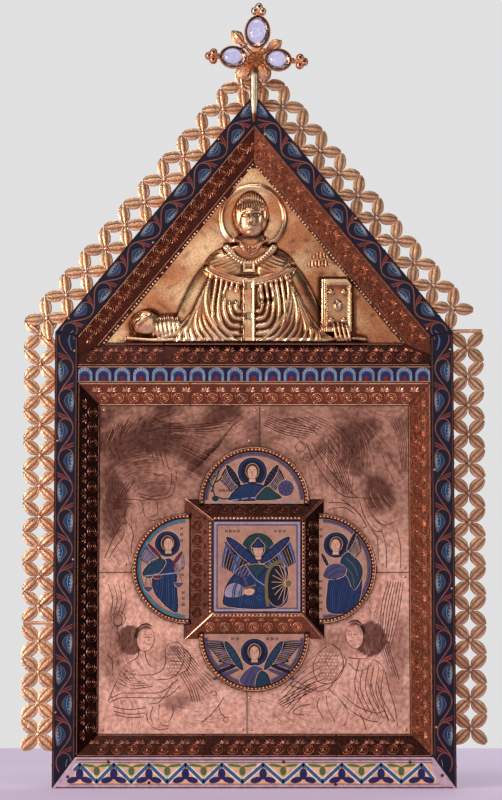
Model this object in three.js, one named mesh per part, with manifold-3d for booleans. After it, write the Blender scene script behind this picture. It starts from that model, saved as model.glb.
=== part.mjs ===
// Gable-shaped reliquary casket: a hollow oak carcass sheathed in gilt copper,
// champleve enamel strips, stamped strips, a repousse gable sheet, pierced crests and a crystal finial.
// Millimetres, +Z up. The origin is the middle of the underside and the front faces -Y.
import * as THREE from 'three';
import { mergeVertices } from 'three/addons/utils/BufferGeometryUtils.js';
import Module from 'manifold-3d';

const wasm = await Module();
wasm.setup();

// ---- driving dimensions ----

const casket = { halfWidth: 152, shoulder: 345.5, apex: 530.5, depth: 65 };
const frontY = -casket.depth / 2;              // the face of the enamel borders
const gap = 0.3;                               // clearance between touching pieces
const sheet = { bevel: 1.2, side: 1.2, plate: 1.2, enamel: 2.5 };

const border = {
  width: 17.5,                                 // side enamel strips
  baseHeight: 23.7,
  slopeInnerApex: 506.3,
  barBottom: 306.7,                            // the cross bar between field and gable
  barTop: 319.2,
};

const field = {
  halfWidth: 118,
  bottom: 40.5,
  top: 290,
  depth: 12,
  seamTop: 4.4,                                // where the four plates meet
  seamBottom: -5.4,
  seamLevel: 162.5,
};
const gable = { halfWidth: 113.4, bottom: 338, apex: 476, depth: 10, mitreLevel: 328.5 };
const stripJoints = { fieldTop: -49, fieldBottom: [-38.5, 62], gableSill: -69.5 };

const wood = { wall: 9, front: 9, backBoard: 7.7, clearance: gap };

const quatrefoil = {
  centre: [0, 165.3],
  square: 53.3,                                // half width of the square behind the lobes
  chord: 49,                                   // where a lobe meets the centre frame
  lobeRadius: 42,
  lobeReach: 51,                               // from the middle to a lobe's own centre
  rimWidth: 3.8,
  rimDepth: 7.6,
  enamelDepth: 8.6,
  segments: 20,
};

const plaque = {
  centre: [2.2, 166.6],
  halfWidth: 33.6,
  halfHeight: 34.8,
  depth: 1.2,
  frameInner: 1.8,                             // depth of the frame at the plaque and at its foot
  frameOuter: 11.9,
};

const crest = {
  planeDepth: 33,                              // back of the side crests
  roofPlaneDepth: { left: 29.5, right: 26 },   // the roof crests overlap them and each other
  edge: 0.6,                                   // inner tips clear of the sheets
  width: 25.5,
  ridge: 2.6,
  petal: { hub: 1.9, widest: 0.5, halfWidth: 3.5, tip: 1.1, tipRise: 0.7, crownRise: 0.8, crownReach: 1.1 },
  patch: { halfWidth: 4.2, rise: 0.6 },        // the plainer flowers of the repair
  slopeWidth: 26.5,
  bar: { length: 3.2, thickness: 2.6 },
};

const finial = {
  centre: [1.3, 558.7],
  tilt: THREE.MathUtils.degToRad(3.6),
  depth: 3,                                    // back of the cross behind the front face
  plate: 2.6,
  crystals: {
    top: { along: 20.8, halfLength: 11.6, halfWidth: 8.5, height: 6.5 },
    left: { along: 17.3, halfLength: 9.4, halfWidth: 7.3, height: 6 },
    right: { along: 17.3, halfLength: 9.2, halfWidth: 7.3, height: 6 },
  },
  bezel: { wall: 1.5, height: 2.6 },
  ovalSegments: 8,
  tips: { top: 38.3, left: 33.6, right: 35 },
  tipRadius: 2.9,
  tipRise: 1.2,                                // how far the third lobe of a trefoil stands out, in radii
  hub: { radius: 8.6, sides: 10 },
  bar: { halfWidth: 2.2, from: 4 },
  leaf: { proud: 0.8, back: 0.4, segments: 4 },
  leaves: [                                    // root, turn, length and width
    { root: [-4, 4], turn: -0.75, length: 25, width: 7 },
    { root: [4, 4], turn: 0.95, length: 23, width: 7 },
    { root: [-4, -5], turn: 3.75, length: 16, width: 8 },
    { root: [4, -5], turn: 2.6, length: 16, width: 8 },
  ],
  knobs: [{ at: [-6.5, 6], radius: 2.4 }, { at: [6, 6.2], radius: 2.4 }, { at: [-3, -8], radius: 3.2 }],
  crystalFacets: { rings: 5, sides: 16 },
  stem: { top: 550, bottom: 508, point: 12, flare: 1.1, halfWidth: 2.7, thickness: 2.6 },
};

// ---- shared helpers ----

const group = new THREE.Group();

const finishes = {
  oak: { color: 0x6b4a2f, roughness: 0.8, metalness: 0 },
  enamel: { color: 0x1d2f6e, roughness: 0.3, metalness: 0.1 },
  paleEnamel: { color: 0xd9a890, roughness: 0.3, metalness: 0.4 },
  stamped: { color: 0x8a4f2c, roughness: 0.4, metalness: 0.9 },
  gilt: { color: 0xd9a05a, roughness: 0.25, metalness: 1 },
  engraved: { color: 0xcf9a72, roughness: 0.35, metalness: 0.9 },
  crest: { color: 0xc98452, roughness: 0.35, metalness: 0.9 },
  crystal: { color: 0xb9b4e6, roughness: 0.05, metalness: 0 },
};

function addPiece(name, geometry, finish, parent = group) {
  const mesh = new THREE.Mesh(geometry, new THREE.MeshStandardMaterial(finishes[finish]));
  mesh.name = name;
  parent.add(mesh);
  return mesh;
}

// Moves every edge of a counter-clockwise outline inwards, to leave room for its neighbour.
function inset(outline, distance) {
  const count = outline.length;
  return outline.map((point, i) => {
    const before = new THREE.Vector2(...point).sub(new THREE.Vector2(...outline[(i + count - 1) % count]));
    const after = new THREE.Vector2(...outline[(i + 1) % count]).sub(new THREE.Vector2(...point));
    const a = new THREE.Vector2(-before.y, before.x).normalize();
    const b = new THREE.Vector2(-after.y, after.x).normalize();
    const bisector = a.clone().add(b).normalize();
    const reach = distance / bisector.dot(a);
    return [point[0] + bisector.x * reach, point[1] + bisector.y * reach];
  });
}

// A flat piece seen from the front: an (x, z) outline between two depths behind the front face.
function slab(shape, near, far, curveSegments = 12) {
  const isList = Array.isArray(shape);
  const outline = isList ? new THREE.Shape(shape.map((p) => new THREE.Vector2(...p))) : shape;
  const depth = far - near;
  const geometry = new THREE.ExtrudeGeometry(outline, { depth, bevelEnabled: false, curveSegments });
  geometry.rotateX(Math.PI / 2);
  geometry.translate(0, frontY + far, 0);
  return geometry;
}

// Leans a slab back: each vertex moves behind the front face by what depthAt gives at its x and z.
function lean(geometry, depthAt) {
  const position = geometry.getAttribute('position');
  for (let i = 0; i < position.count; i++) {
    position.setY(i, position.getY(i) + depthAt(position.getX(i), position.getZ(i)));
  }
  geometry.computeVertexNormals();
  return geometry;
}

// The depth of a plane that is at level near along a line and at level far at a point inside it.
function bevelDepth([x1, z1], [x2, z2], inside, near, far) {
  const along = new THREE.Vector2(x2 - x1, z2 - z1).normalize();
  const distance = (x, z) => (x - x1) * along.y - (z - z1) * along.x;
  const width = distance(...inside);
  return (x, z) => near + (far - near) * distance(x, z) / width;
}

function toSolid(geometry) {
  const bare = geometry.clone();
  bare.deleteAttribute('normal');
  bare.deleteAttribute('uv');
  const merged = mergeVertices(bare, 1e-4);
  return new wasm.Manifold(new wasm.Mesh({
    numProp: 3,
    vertProperties: new Float32Array(merged.getAttribute('position').array),
    triVerts: new Uint32Array(merged.getIndex().array),
  }));
}

function toGeometry(solid) {
  const mesh = solid.getMesh();
  const geometry = new THREE.BufferGeometry();
  geometry.setAttribute('position', new THREE.BufferAttribute(new Float32Array(mesh.vertProperties), 3));
  geometry.setIndex(new THREE.BufferAttribute(new Uint32Array(mesh.triVerts), 1));
  geometry.computeVertexNormals();
  return geometry;
}

function unite(geometries) {
  return geometries.map(toSolid).reduce((sum, solid) => sum.add(solid));
}

// A block whose outline changes evenly from one depth to another; both outlines have the same points.
function taper(nearOutline, near, farOutline, far) {
  const geometry = slab(nearOutline, near, far);
  const position = geometry.getAttribute('position');
  for (let i = 0; i < position.count; i++) {
    if (Math.abs(position.getY(i) - frontY - far) > 1e-4) continue;
    const from = nearOutline.findIndex(([x, z]) => (
      Math.hypot(position.getX(i) - x, position.getZ(i) - z) < 1e-3
    ));
    position.setX(i, farOutline[from][0]);
    position.setZ(i, farOutline[from][1]);
  }
  return geometry;
}

const rectangle = (left, bottom, right, top) => (
  [[left, bottom], [right, bottom], [right, top], [left, top]]
);
const mirrored = (outline) => outline.map(([x, z]) => [-x, z]).reverse();

// ---- main outlines, in x and z ----

const { halfWidth, shoulder, apex } = casket;
const borderInner = halfWidth - border.width;
const slopeRise = (apex - shoulder) / halfWidth;
const innerShoulder = border.slopeInnerApex - slopeRise * borderInner;
const slopeAngle = Math.atan(slopeRise);

function houseOutline(wall) {
  const drop = wall / Math.cos(slopeAngle);
  const half = halfWidth - wall;
  const top = apex - drop;
  const eaves = top - slopeRise * half;
  return [[-half, 0], [half, 0], [half, eaves], [0, top], [-half, eaves]];
}

const fieldOuter = rectangle(-borderInner, border.baseHeight, borderInner, border.barBottom);
const fieldInner = rectangle(-field.halfWidth, field.bottom, field.halfWidth, field.top);

const gableOuter = [
  [-borderInner, border.barTop], [borderInner, border.barTop], [borderInner, innerShoulder],
  [0, border.slopeInnerApex], [-borderInner, innerShoulder],
];

// ---- bevels of the two recesses: each an outline and the depth of its slope ----

const [outerSW, outerSE, outerNE, outerNW] = fieldOuter;
const [innerSW, innerSE, innerNE, innerNW] = fieldInner;
const fieldFall = (a, b, inner) => bevelDepth(a, b, inner, 0, field.depth);
const fieldBevels = {
  left: { outline: [outerNW, outerSW, innerSW, innerNW], fall: fieldFall(outerNW, outerSW, innerSW) },
  right: { outline: [outerSE, outerNE, innerNE, innerSE], fall: fieldFall(outerSE, outerNE, innerNE) },
  top: { outline: [innerNW, innerNE, outerNE, outerNW], fall: fieldFall(outerNE, outerNW, innerNW) },
  bottom: { outline: [outerSW, outerSE, innerSE, innerSW], fall: fieldFall(outerSW, outerSE, innerSE) },
};

const sillOutline = [
  [-borderInner, border.barTop], [borderInner, border.barTop], [borderInner, gable.mitreLevel],
  [gable.halfWidth, gable.bottom], [-gable.halfWidth, gable.bottom], [-borderInner, gable.mitreLevel],
];
const slopeOutline = [
  [-borderInner, gable.mitreLevel], [-gable.halfWidth, gable.bottom], [0, gable.apex],
  [0, border.slopeInnerApex], [-borderInner, innerShoulder],
];
const slopeFall = bevelDepth(
  [-borderInner, innerShoulder], [0, border.slopeInnerApex], [0, gable.apex], 0, gable.depth);
const sillFall = bevelDepth(sillOutline[0], sillOutline[1], sillOutline[3], 0, gable.depth);
const gableBevels = {
  sill: { outline: sillOutline, fall: sillFall },
  left: { outline: slopeOutline, fall: slopeFall },
  right: { outline: mirrored(slopeOutline), fall: (x, z) => slopeFall(-x, z) },
};

// One lobe of the quatrefoil, on the upright axis and with its foot along the centre frame.
function lobeShape(radius, foot = quatrefoil.chord + gap) {
  const shape = new THREE.Shape();
  shape.moveTo(-radius, foot);
  shape.lineTo(radius, foot);
  shape.absarc(0, quatrefoil.lobeReach, radius, 0, Math.PI);
  return shape;
}

function turnedLobe(turn, radius, foot, near, far) {
  const [cx, cz] = quatrefoil.centre;
  const lobe = slab(lobeShape(radius, foot), near, far, quatrefoil.segments);
  return lobe.rotateY(turn * Math.PI / 2).translate(cx, 0, cz);
}

// ---- oak carcass and back board ----

// What is cut away in front of a recess: all that lies before its floor and before every bevel.
function makeRecess(outline, bevels, floorDepth, under) {
  const everywhere = rectangle(-halfWidth, 0, halfWidth, apex);
  let solid = toSolid(slab(outline, -casket.depth, floorDepth + under));
  for (const { fall } of Object.values(bevels)) {
    solid = solid.intersect(toSolid(lean(slab(everywhere, -10 * casket.depth, under), fall)));
  }
  return solid;
}

function makeCarcass() {
  const seat = sheet.side + wood.clearance;
  const face = sheet.enamel + wood.clearance;
  const back = casket.depth - wood.backBoard - wood.clearance;
  const under = sheet.bevel + wood.clearance;
  const fieldFloor = field.depth + under;
  const cavity = inset(houseOutline(seat), wood.wall);
  const [px, pz] = plaque.centre;
  const [qx, qz] = quatrefoil.centre;
  const { square } = quatrefoil;
  const plinthBase = rectangle(qx - square, qz - square, qx + square, qz + square);
  const plinthTop = rectangle(
    px - plaque.halfWidth, pz - plaque.halfHeight, px + plaque.halfWidth, pz + plaque.halfHeight);
  const plinth = taper(plinthTop, plaque.frameInner + under, plinthBase, plaque.frameOuter + under);
  let solid = toSolid(slab(houseOutline(seat), face, back))
    .subtract(makeRecess(fieldOuter, fieldBevels, field.depth, under))
    .subtract(makeRecess(gableOuter, gableBevels, gable.depth, under))
    .add(toSolid(plinth))
    .add(toSolid(slab(plinthBase, plaque.frameOuter + under, fieldFloor + 1)));
  for (let turn = 0; turn < 4; turn++) {
    const lobe = turnedLobe(turn, quatrefoil.lobeRadius + gap, quatrefoil.chord, 0, fieldFloor);
    solid = solid.subtract(toSolid(lobe));
  }
  solid = solid.subtract(toSolid(slab(cavity, fieldFloor + wood.front, back + 1)));
  return toGeometry(solid);
}

addPiece('carcass', makeCarcass(), 'oak');

const backOutline = houseOutline(sheet.side + wood.clearance);
addPiece('back_board', slab(backOutline, casket.depth - wood.backBoard, casket.depth), 'oak');

// ---- gilt copper sheets on the sides and the roof ----

const outerHouse = houseOutline(0);
const innerHouse = houseOutline(sheet.side);
const sheathing = { side_sheet_right: 1, roof_sheet_right: 2, roof_sheet_left: 3, side_sheet_left: 4 };
for (const [name, from] of Object.entries(sheathing)) {
  const to = (from + 1) % outerHouse.length;
  const outline = [outerHouse[from], outerHouse[to], innerHouse[to], innerHouse[from]];
  const trimmed = inset(outline, gap / 6);
  addPiece(name, slab(trimmed, sheet.enamel + gap, casket.depth - gap), 'gilt');
}

// ---- enamel strips on the front ----

const sideStrip = [
  [-halfWidth, 0], [-borderInner, border.baseHeight], [-borderInner, innerShoulder], [-halfWidth, shoulder],
];
const slopeStrip = [
  [-halfWidth, shoulder], [-borderInner, innerShoulder], [0, border.slopeInnerApex], [0, apex],
];
const baseStrip = [
  [-halfWidth, 0], [halfWidth, 0], [borderInner, border.baseHeight], [-borderInner, border.baseHeight],
];
const enamelStrips = {
  enamel_side_left: sideStrip,
  enamel_side_right: mirrored(sideStrip),
  enamel_slope_left: slopeStrip,
  enamel_slope_right: mirrored(slopeStrip),
  enamel_base: baseStrip,
  enamel_arches: rectangle(-borderInner, border.barBottom, borderInner, border.barTop),
};
for (const [name, outline] of Object.entries(enamelStrips)) {
  addPiece(name, slab(inset(outline, gap / 2), 0, sheet.enamel), 'enamel');
}

// ---- stamped strips on the bevels ----

// Cuts a long strip across at the given places along x and names the lengths.
function addBevel(names, { outline, fall }, joints) {
  const solid = toSolid(slab(inset(outline, gap / 2), 0, sheet.bevel));
  const limits = [-halfWidth, ...joints, halfWidth];
  names.forEach((name, i) => {
    const stretch = rectangle(limits[i] + gap / 2, 0, limits[i + 1] - gap / 2, apex);
    const length = toSolid(slab(stretch, -1, sheet.bevel + 1));
    addPiece(name, lean(toGeometry(solid.intersect(length)), fall), 'stamped');
  });
}

addBevel(['field_strip_left'], fieldBevels.left, []);
addBevel(['field_strip_right'], fieldBevels.right, []);
addBevel(['field_strip_top_left', 'field_strip_top_right'], fieldBevels.top, [stripJoints.fieldTop]);
addBevel(
  ['field_strip_bottom_left', 'field_strip_bottom_middle', 'field_strip_bottom_right'],
  fieldBevels.bottom, stripJoints.fieldBottom);
addBevel(['gable_sill_left', 'gable_sill_right'], gableBevels.sill, [stripJoints.gableSill]);
addBevel(['gable_strip_left'], gableBevels.left, []);
addBevel(['gable_strip_right'], gableBevels.right, []);

// ---- repousse sheet of the gable: a half-length figure with a book ----

const relief = { rows: 19, columns: 23, thickness: 1, edge: 0.4, blank: 2.4 };
const figure = {
  body: { centre: -4, shoulder: 397, half: 37, flare: 0.42, crown: 14, height: 7 },
  folds: { width: 15, height: 0.7 },
  halo: { centre: [-1, 435], radius: 23, half: 2.5, height: 1.2 },
  head: { centre: [-2.5, 435.5], half: [13, 18], height: 9.5 },
  hand: { centre: [-78, 351], half: [16, 12], height: 5 },
  book: { centre: [63, 366], half: [12.5, 20.5], height: 4.5 },
};

const dome = (x, z, { centre, half, height }) => {
  const reach = ((x - centre[0]) / half[0]) ** 2 + ((z - centre[1]) / half[1]) ** 2;
  return height * Math.sqrt(Math.max(0, 1 - reach));
};

// The rounded shoulders and the mantle that widens below them, with upright folds.
function bodyHeight(x, z) {
  const { body, folds } = figure;
  const below = body.shoulder - z;
  const round = Math.sqrt(Math.max(0, 1 - (below / body.crown) ** 2));
  const half = below > 0 ? body.half + below * body.flare : body.half * round;
  const across = half > 0 ? Math.abs(x - body.centre) / half : 2;
  const swell = across < 1 ? Math.sqrt(1 - across ** 2) : 0;
  const wave = Math.cos((x - body.centre) / folds.width * 2 * Math.PI);
  return swell * (body.height + folds.height * wave);
}

function reliefHeight(x, z) {
  const { halo, book } = figure;
  const fromHalo = Math.abs(Math.hypot(x - halo.centre[0], z - halo.centre[1]) - halo.radius);
  const onBook = Math.abs(x - book.centre[0]) < book.half[0] && Math.abs(z - book.centre[1]) < book.half[1];
  return Math.max(
    bodyHeight(x, z), fromHalo < halo.half ? halo.height : 0, onBook ? book.height : 0,
    dome(x, z, figure.head), dome(x, z, figure.hand));
}

function makeRelief() {
  const { rows, columns, thickness, edge, blank } = relief;
  const geometry = new THREE.BoxGeometry(1, thickness, 1, columns, 1, rows);
  const position = geometry.getAttribute('position');
  const bottom = gable.bottom + edge;
  const top = gable.apex - blank;
  const floor = frontY + gable.depth - thickness / 2 - gap / 2;
  for (let i = 0; i < position.count; i++) {
    const z = bottom + (position.getZ(i) + 0.5) * (top - bottom);
    const half = (gable.apex - z) * gable.halfWidth / (gable.apex - gable.bottom) - edge;
    const x = position.getX(i) * 2 * half;
    const rim = Math.abs(position.getX(i)) > 0.499 || Math.abs(position.getZ(i)) > 0.499;
    const height = rim ? 0 : reliefHeight(x, z);
    position.setXYZ(i, x, floor - height + position.getY(i), z);
  }
  geometry.computeVertexNormals();
  return geometry;
}

addPiece('gable_relief', makeRelief(), 'gilt');

// ---- engraved plates around the quatrefoil ----

function makeQuatrefoilCutter(clearance) {
  const [cx, cz] = quatrefoil.centre;
  const half = quatrefoil.square + clearance;
  const far = field.depth + sheet.plate + 1;
  const parts = [slab(rectangle(cx - half, cz - half, cx + half, cz + half), 0, far)];
  for (let turn = 0; turn < 4; turn++) {
    const angle = turn * Math.PI / 2;
    const disc = new THREE.Shape();
    const x = cx + quatrefoil.lobeReach * Math.sin(angle);
    const z = cz + quatrefoil.lobeReach * Math.cos(angle);
    disc.absarc(x, z, quatrefoil.lobeRadius + clearance, 0, 2 * Math.PI);
    parts.push(slab(disc, 0, far, quatrefoil.segments));
  }
  return unite(parts);
}

const opening = makeQuatrefoilCutter(gap);
const edges = { left: -field.halfWidth, right: field.halfWidth, bottom: field.bottom, top: field.top };
const plates = {
  engraved_plate_upper_left: rectangle(edges.left, field.seamLevel, field.seamTop, edges.top),
  engraved_plate_upper_right: rectangle(field.seamTop, field.seamLevel, edges.right, edges.top),
  engraved_plate_lower_left: rectangle(edges.left, edges.bottom, field.seamBottom, field.seamLevel),
  engraved_plate_lower_right: rectangle(field.seamBottom, edges.bottom, edges.right, field.seamLevel),
};
for (const [name, outline] of Object.entries(plates)) {
  const plate = toSolid(slab(inset(outline, gap), field.depth, field.depth + sheet.plate));
  addPiece(name, toGeometry(plate.subtract(opening)), 'engraved');
}

// ---- lobes of the quatrefoil: a rim and an enamel plaque each ----

function rimShape(outer, inner) {
  const foot = quatrefoil.chord + gap;
  const shape = new THREE.Shape();
  shape.moveTo(-outer, foot);
  shape.lineTo(-inner, foot);
  shape.absarc(0, quatrefoil.lobeReach, inner, Math.PI, 0, true);
  shape.lineTo(inner, foot);
  shape.lineTo(outer, foot);
  shape.absarc(0, quatrefoil.lobeReach, outer, 0, Math.PI);
  return shape;
}

const seatDepth = field.depth + sheet.plate;
['top', 'right', 'bottom', 'left'].forEach((side, turn) => {
  const rimInner = quatrefoil.lobeRadius - quatrefoil.rimWidth;
  const lobe = new THREE.Group();
  lobe.position.set(quatrefoil.centre[0], 0, quatrefoil.centre[1]);
  lobe.rotation.y = turn * Math.PI / 2;
  group.add(lobe);
  const { lobeRadius, rimDepth, enamelDepth, segments } = quatrefoil;
  const rim = slab(rimShape(lobeRadius, rimInner), rimDepth, seatDepth, segments);
  const enamel = slab(lobeShape(rimInner - gap), enamelDepth, seatDepth, segments);
  addPiece(`lobe_rim_${side}`, rim, 'stamped', lobe);
  addPiece(`lobe_enamel_${side}`, enamel, 'paleEnamel', lobe);
});

// ---- raised centre frame: four mitred strips and the square plaque ----

function addCentreFrame() {
  const [cx, cz] = quatrefoil.centre;
  const [px, pz] = plaque.centre;
  const half = quatrefoil.square;
  const ear = quatrefoil.lobeRadius + gap * 2;
  const inner = rectangle(
    px - plaque.halfWidth, pz - plaque.halfHeight, px + plaque.halfWidth, pz + plaque.halfHeight);
  const corners = rectangle(cx - half, cz - half, cx + half, cz + half);
  ['bottom', 'right', 'top', 'left'].forEach((side, i) => {
    const next = (i + 1) % 4;
    const angle = i * Math.PI / 2;
    const [cos, sin] = [Math.cos(angle), Math.sin(angle)];
    const turn = ([u, v]) => [cx + u * cos - v * sin, cz + u * sin + v * cos];
    const { chord } = quatrefoil;
    const waist = [[-ear, -half], [-ear, -chord], [ear, -chord], [ear, -half]].map(turn);
    const outline = [corners[i], ...waist, corners[next], inner[next], inner[i]];
    const fall = bevelDepth(inner[i], inner[next], corners[i], plaque.frameInner, plaque.frameOuter);
    addPiece(`centre_frame_${side}`, lean(slab(inset(outline, gap / 2), 0, sheet.bevel), fall), 'stamped');
  });
  const enamel = slab(inset(inner, gap), plaque.depth, plaque.frameInner + sheet.bevel);
  addPiece('centre_enamel', enamel, 'paleEnamel');
}

addCentreFrame();

// ---- pierced crests: four-petalled flowers joined at their tips ----

// Builds a strip in its own plane: s runs along it, t across it, and each petal has a ridge in front.
function crestStrip({ count, pitch, width, ridge = crest.ridge, petal = crest.petal }) {
  const vertices = [];
  const faces = [];
  const addVertex = (s, t, height) => vertices.push([s, t, height]) - 1;
  const tips = new Map();

  function tipSection(joint, side) {
    const key = `${joint} ${side}`;
    if (!tips.has(key)) {
      const s = (joint - 0.5) * pitch;
      const t = side * (width / 2 - petal.tip);
      const section = [
        addVertex(s, t - side * petal.tip, 0), addVertex(s, t, ridge * petal.tipRise),
        addVertex(s, t + side * petal.tip, 0),
      ];
      tips.set(key, { section, uses: 0 });
    }
    const tip = tips.get(key);
    tip.uses += 1;
    return tip;
  }

  for (let i = 0; i < count; i++) {
    const centre = i * pitch;
    const peak = addVertex(centre, 0, ridge);
    const hub = [];
    for (let k = 0; k < 4; k++) {
      const angle = k * Math.PI / 2;
      const corner = addVertex(centre + petal.hub * Math.cos(angle), petal.hub * Math.sin(angle), 0);
      const middle = angle + Math.PI / 4;
      const along = petal.hub * petal.crownReach;
      const [crownS, crownT] = [centre + along * Math.cos(middle), along * Math.sin(middle)];
      const crown = addVertex(crownS, crownT, ridge * petal.crownRise);
      hub.push({ corner, crown, middle });
    }
    const [east, north, west, south] = hub.map(({ corner }) => corner);
    faces.push([east, west, north], [east, south, west]);
    hub.forEach(({ corner, crown, middle }, k) => {
      const nextCorner = hub[(k + 1) % 4].corner;
      faces.push([peak, corner, crown], [peak, crown, nextCorner]);
      const [ds, dt] = [Math.sign(Math.cos(middle)), Math.sign(Math.sin(middle))];
      const reach = [ds * pitch / 2, dt * (width / 2 - petal.tip)];
      const length = Math.hypot(...reach);
      const mid = [centre + reach[0] * petal.widest, reach[1] * petal.widest];
      const normal = [-reach[1] / length * petal.halfWidth, reach[0] / length * petal.halfWidth];
      const right = addVertex(mid[0] - normal[0], mid[1] - normal[1], 0);
      const top = addVertex(mid[0], mid[1], ridge);
      const left = addVertex(mid[0] + normal[0], mid[1] + normal[1], 0);
      const tip = tipSection(ds > 0 ? i + 1 : i, dt);
      const tipEdge = ds * dt > 0 ? tip.section : [...tip.section].reverse();
      const stations = [[corner, crown, nextCorner], [right, top, left], tipEdge];
      for (let j = 0; j < 2; j++) {
        const [a, b, c] = stations[j];
        const [d, e, f] = stations[j + 1];
        faces.push([a, d, e], [a, e, b], [b, e, f], [b, f, c], [a, c, f], [a, f, d]);
      }
      tip.last = tipEdge;
    });
  }
  for (const { uses, last } of tips.values()) {
    if (uses === 1) faces.push([last[0], last[2], last[1]]);
  }
  const geometry = new THREE.BufferGeometry();
  geometry.setAttribute('position', new THREE.BufferAttribute(new Float32Array(vertices.flat()), 3));
  geometry.setIndex(faces.flat());
  geometry.computeVertexNormals();
  return geometry;
}

const crestBar = (s, width) => {
  const bar = new THREE.BoxGeometry(crest.bar.length, width, crest.bar.thickness);
  bar.translate(s, 0, crest.bar.thickness / 2);
  return bar;
};

// Stands a strip on the casket: its first flower at start, running towards end, outwards on its left.
function standCrest(name, geometry, start, end, depth = crest.planeDepth) {
  const along = new THREE.Vector3(end[0] - start[0], 0, end[1] - start[1]).normalize();
  const forward = new THREE.Vector3(0, -1, 0);
  const across = new THREE.Vector3().crossVectors(forward, along);
  const mesh = addPiece(name, geometry, 'crest');
  mesh.position.set(start[0], frontY + depth, start[1]);
  mesh.quaternion.setFromRotationMatrix(new THREE.Matrix4().makeBasis(along, across, forward));
  return mesh;
}

const sideCrest = {
  x: halfWidth + crest.edge + crest.width / 2,
  pitchLeft: 23.7,                             // one flower to the next
  topLeft: 347.9,
  pitchRight: 22.6,
  topRight: 337.7,
};

function addSideCrests() {
  const { x, pitchLeft, topLeft, pitchRight, topRight } = sideCrest;
  const width = crest.width;
  const leftRuns = { crest_left_upper: [0, 7], crest_left_middle: [7, 3], crest_left_lower: [10, 4] };
  for (const [name, [first, count]] of Object.entries(leftRuns)) {
    const patched = name === 'crest_left_lower';
    const petal = patched ? { ...crest.petal, halfWidth: crest.patch.halfWidth } : crest.petal;
    const ridge = patched ? crest.ridge * crest.patch.rise : crest.ridge;
    const trim = patched ? 0 : gap / pitchLeft;
    let strip = crestStrip({ count, pitch: pitchLeft * (1 - trim / count), width, petal, ridge });
    if (name === 'crest_left_middle') {
      const end = (count - 0.5) * pitchLeft - crest.bar.length / 2 - gap;
      strip = toGeometry(unite([strip, crestBar(end, width)]));
    }
    const top = topLeft - first * pitchLeft;
    standCrest(name, strip, [-x, top], [-x, 0]);
  }
  const rightRuns = { crest_right_upper: [4, 5], crest_right_lower: [13, 9] };
  for (const [name, [last, count]] of Object.entries(rightRuns)) {
    let strip = crestStrip({ count, pitch: pitchRight * (1 - gap / pitchRight / count), width });
    if (name === 'crest_right_upper') {
      const end = (count - 0.5) * pitchRight + crest.bar.length / 2 - gap * 2;
      strip = toGeometry(unite([strip, crestBar(end, width)]));
    }
    const bottom = topRight - last * pitchRight;
    standCrest(name, strip, [x, bottom], [x, apex]);
  }
}

addSideCrests();

// The roof crests follow the slopes; s is measured down the slope from the apex.
function addRoofCrests() {
  const width = crest.slopeWidth;
  const down = [Math.cos(slopeAngle), -Math.sin(slopeAngle)];
  const out = [Math.sin(slopeAngle), Math.cos(slopeAngle)];
  const place = (sign, s, lift) => (
    [sign * (s * down[0] + lift * out[0]), apex + s * down[1] + lift * out[1]]
  );
  const runs = [
    { name: 'crest_roof_left_upper', sign: -1, from: -3.2, count: 2, pitch: 23.6, lift: [14.4, 14.6] },
    { name: 'crest_roof_left_lower', sign: -1, from: 44.6, count: 9, pitch: 23.7, lift: [14.6, 15.6] },
    { name: 'crest_roof_right', sign: 1, from: -5.2, count: 11, pitch: 22.9, lift: [14.2, 14.6] },
  ];
  for (const { name, sign, from, count, pitch, lift } of runs) {
    const upper = place(sign, from, lift[0]);
    const lower = place(sign, from + (count - 1) * pitch, lift[1]);
    const strip = crestStrip({ count, pitch, width });
    const ends = sign < 0 ? [upper, lower] : [lower, upper];
    const { left, right } = crest.roofPlaneDepth;
    standCrest(name, strip, ...ends, sign < 0 ? left : right);
  }
}

addRoofCrests();

// ---- finial: a small cross with three cabochons, and the stem that pins it to the gable ----

const cross = new THREE.Group();
cross.position.set(finial.centre[0], 0, finial.centre[1]);
cross.rotation.y = finial.tilt;
group.add(cross);

const arms = { top: 0, right: Math.PI / 2, left: -Math.PI / 2 };

function ovalRing({ halfLength, halfWidth: half }, wall, height) {
  const oval = new THREE.Shape();
  oval.absellipse(0, 0, half + wall, halfLength + wall, 0, 2 * Math.PI);
  return slab(oval, finial.depth - height, finial.depth + finial.plate, finial.ovalSegments);
}

function makeBezel(crystal) {
  const { wall, height } = finial.bezel;
  const oval = new THREE.Shape();
  oval.absellipse(0, 0, crystal.halfWidth + gap, crystal.halfLength + gap, 0, 2 * Math.PI);
  const pocket = slab(oval, finial.depth - height - 1, finial.depth, finial.ovalSegments);
  const ring = toSolid(ovalRing(crystal, wall, height));
  return ring.subtract(toSolid(pocket)).translate([0, 0, crystal.along]);
}

function makeLeaf({ root, turn, length, width }) {
  const { proud, back, segments } = finial.leaf;
  const shape = new THREE.Shape();
  shape.moveTo(0, 0);
  shape.quadraticCurveTo(width, length / 2, 0, length);
  shape.quadraticCurveTo(-width, length / 2, 0, 0);
  const blade = slab(shape, finial.depth - proud, finial.depth + finial.plate - back, segments);
  return blade.rotateY(turn).translate(root[0], 0, root[1]);
}

function knob(x, z, radius, depth = finial.depth) {
  return new THREE.IcosahedronGeometry(radius, 0).translate(x, frontY + depth, z);
}

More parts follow.
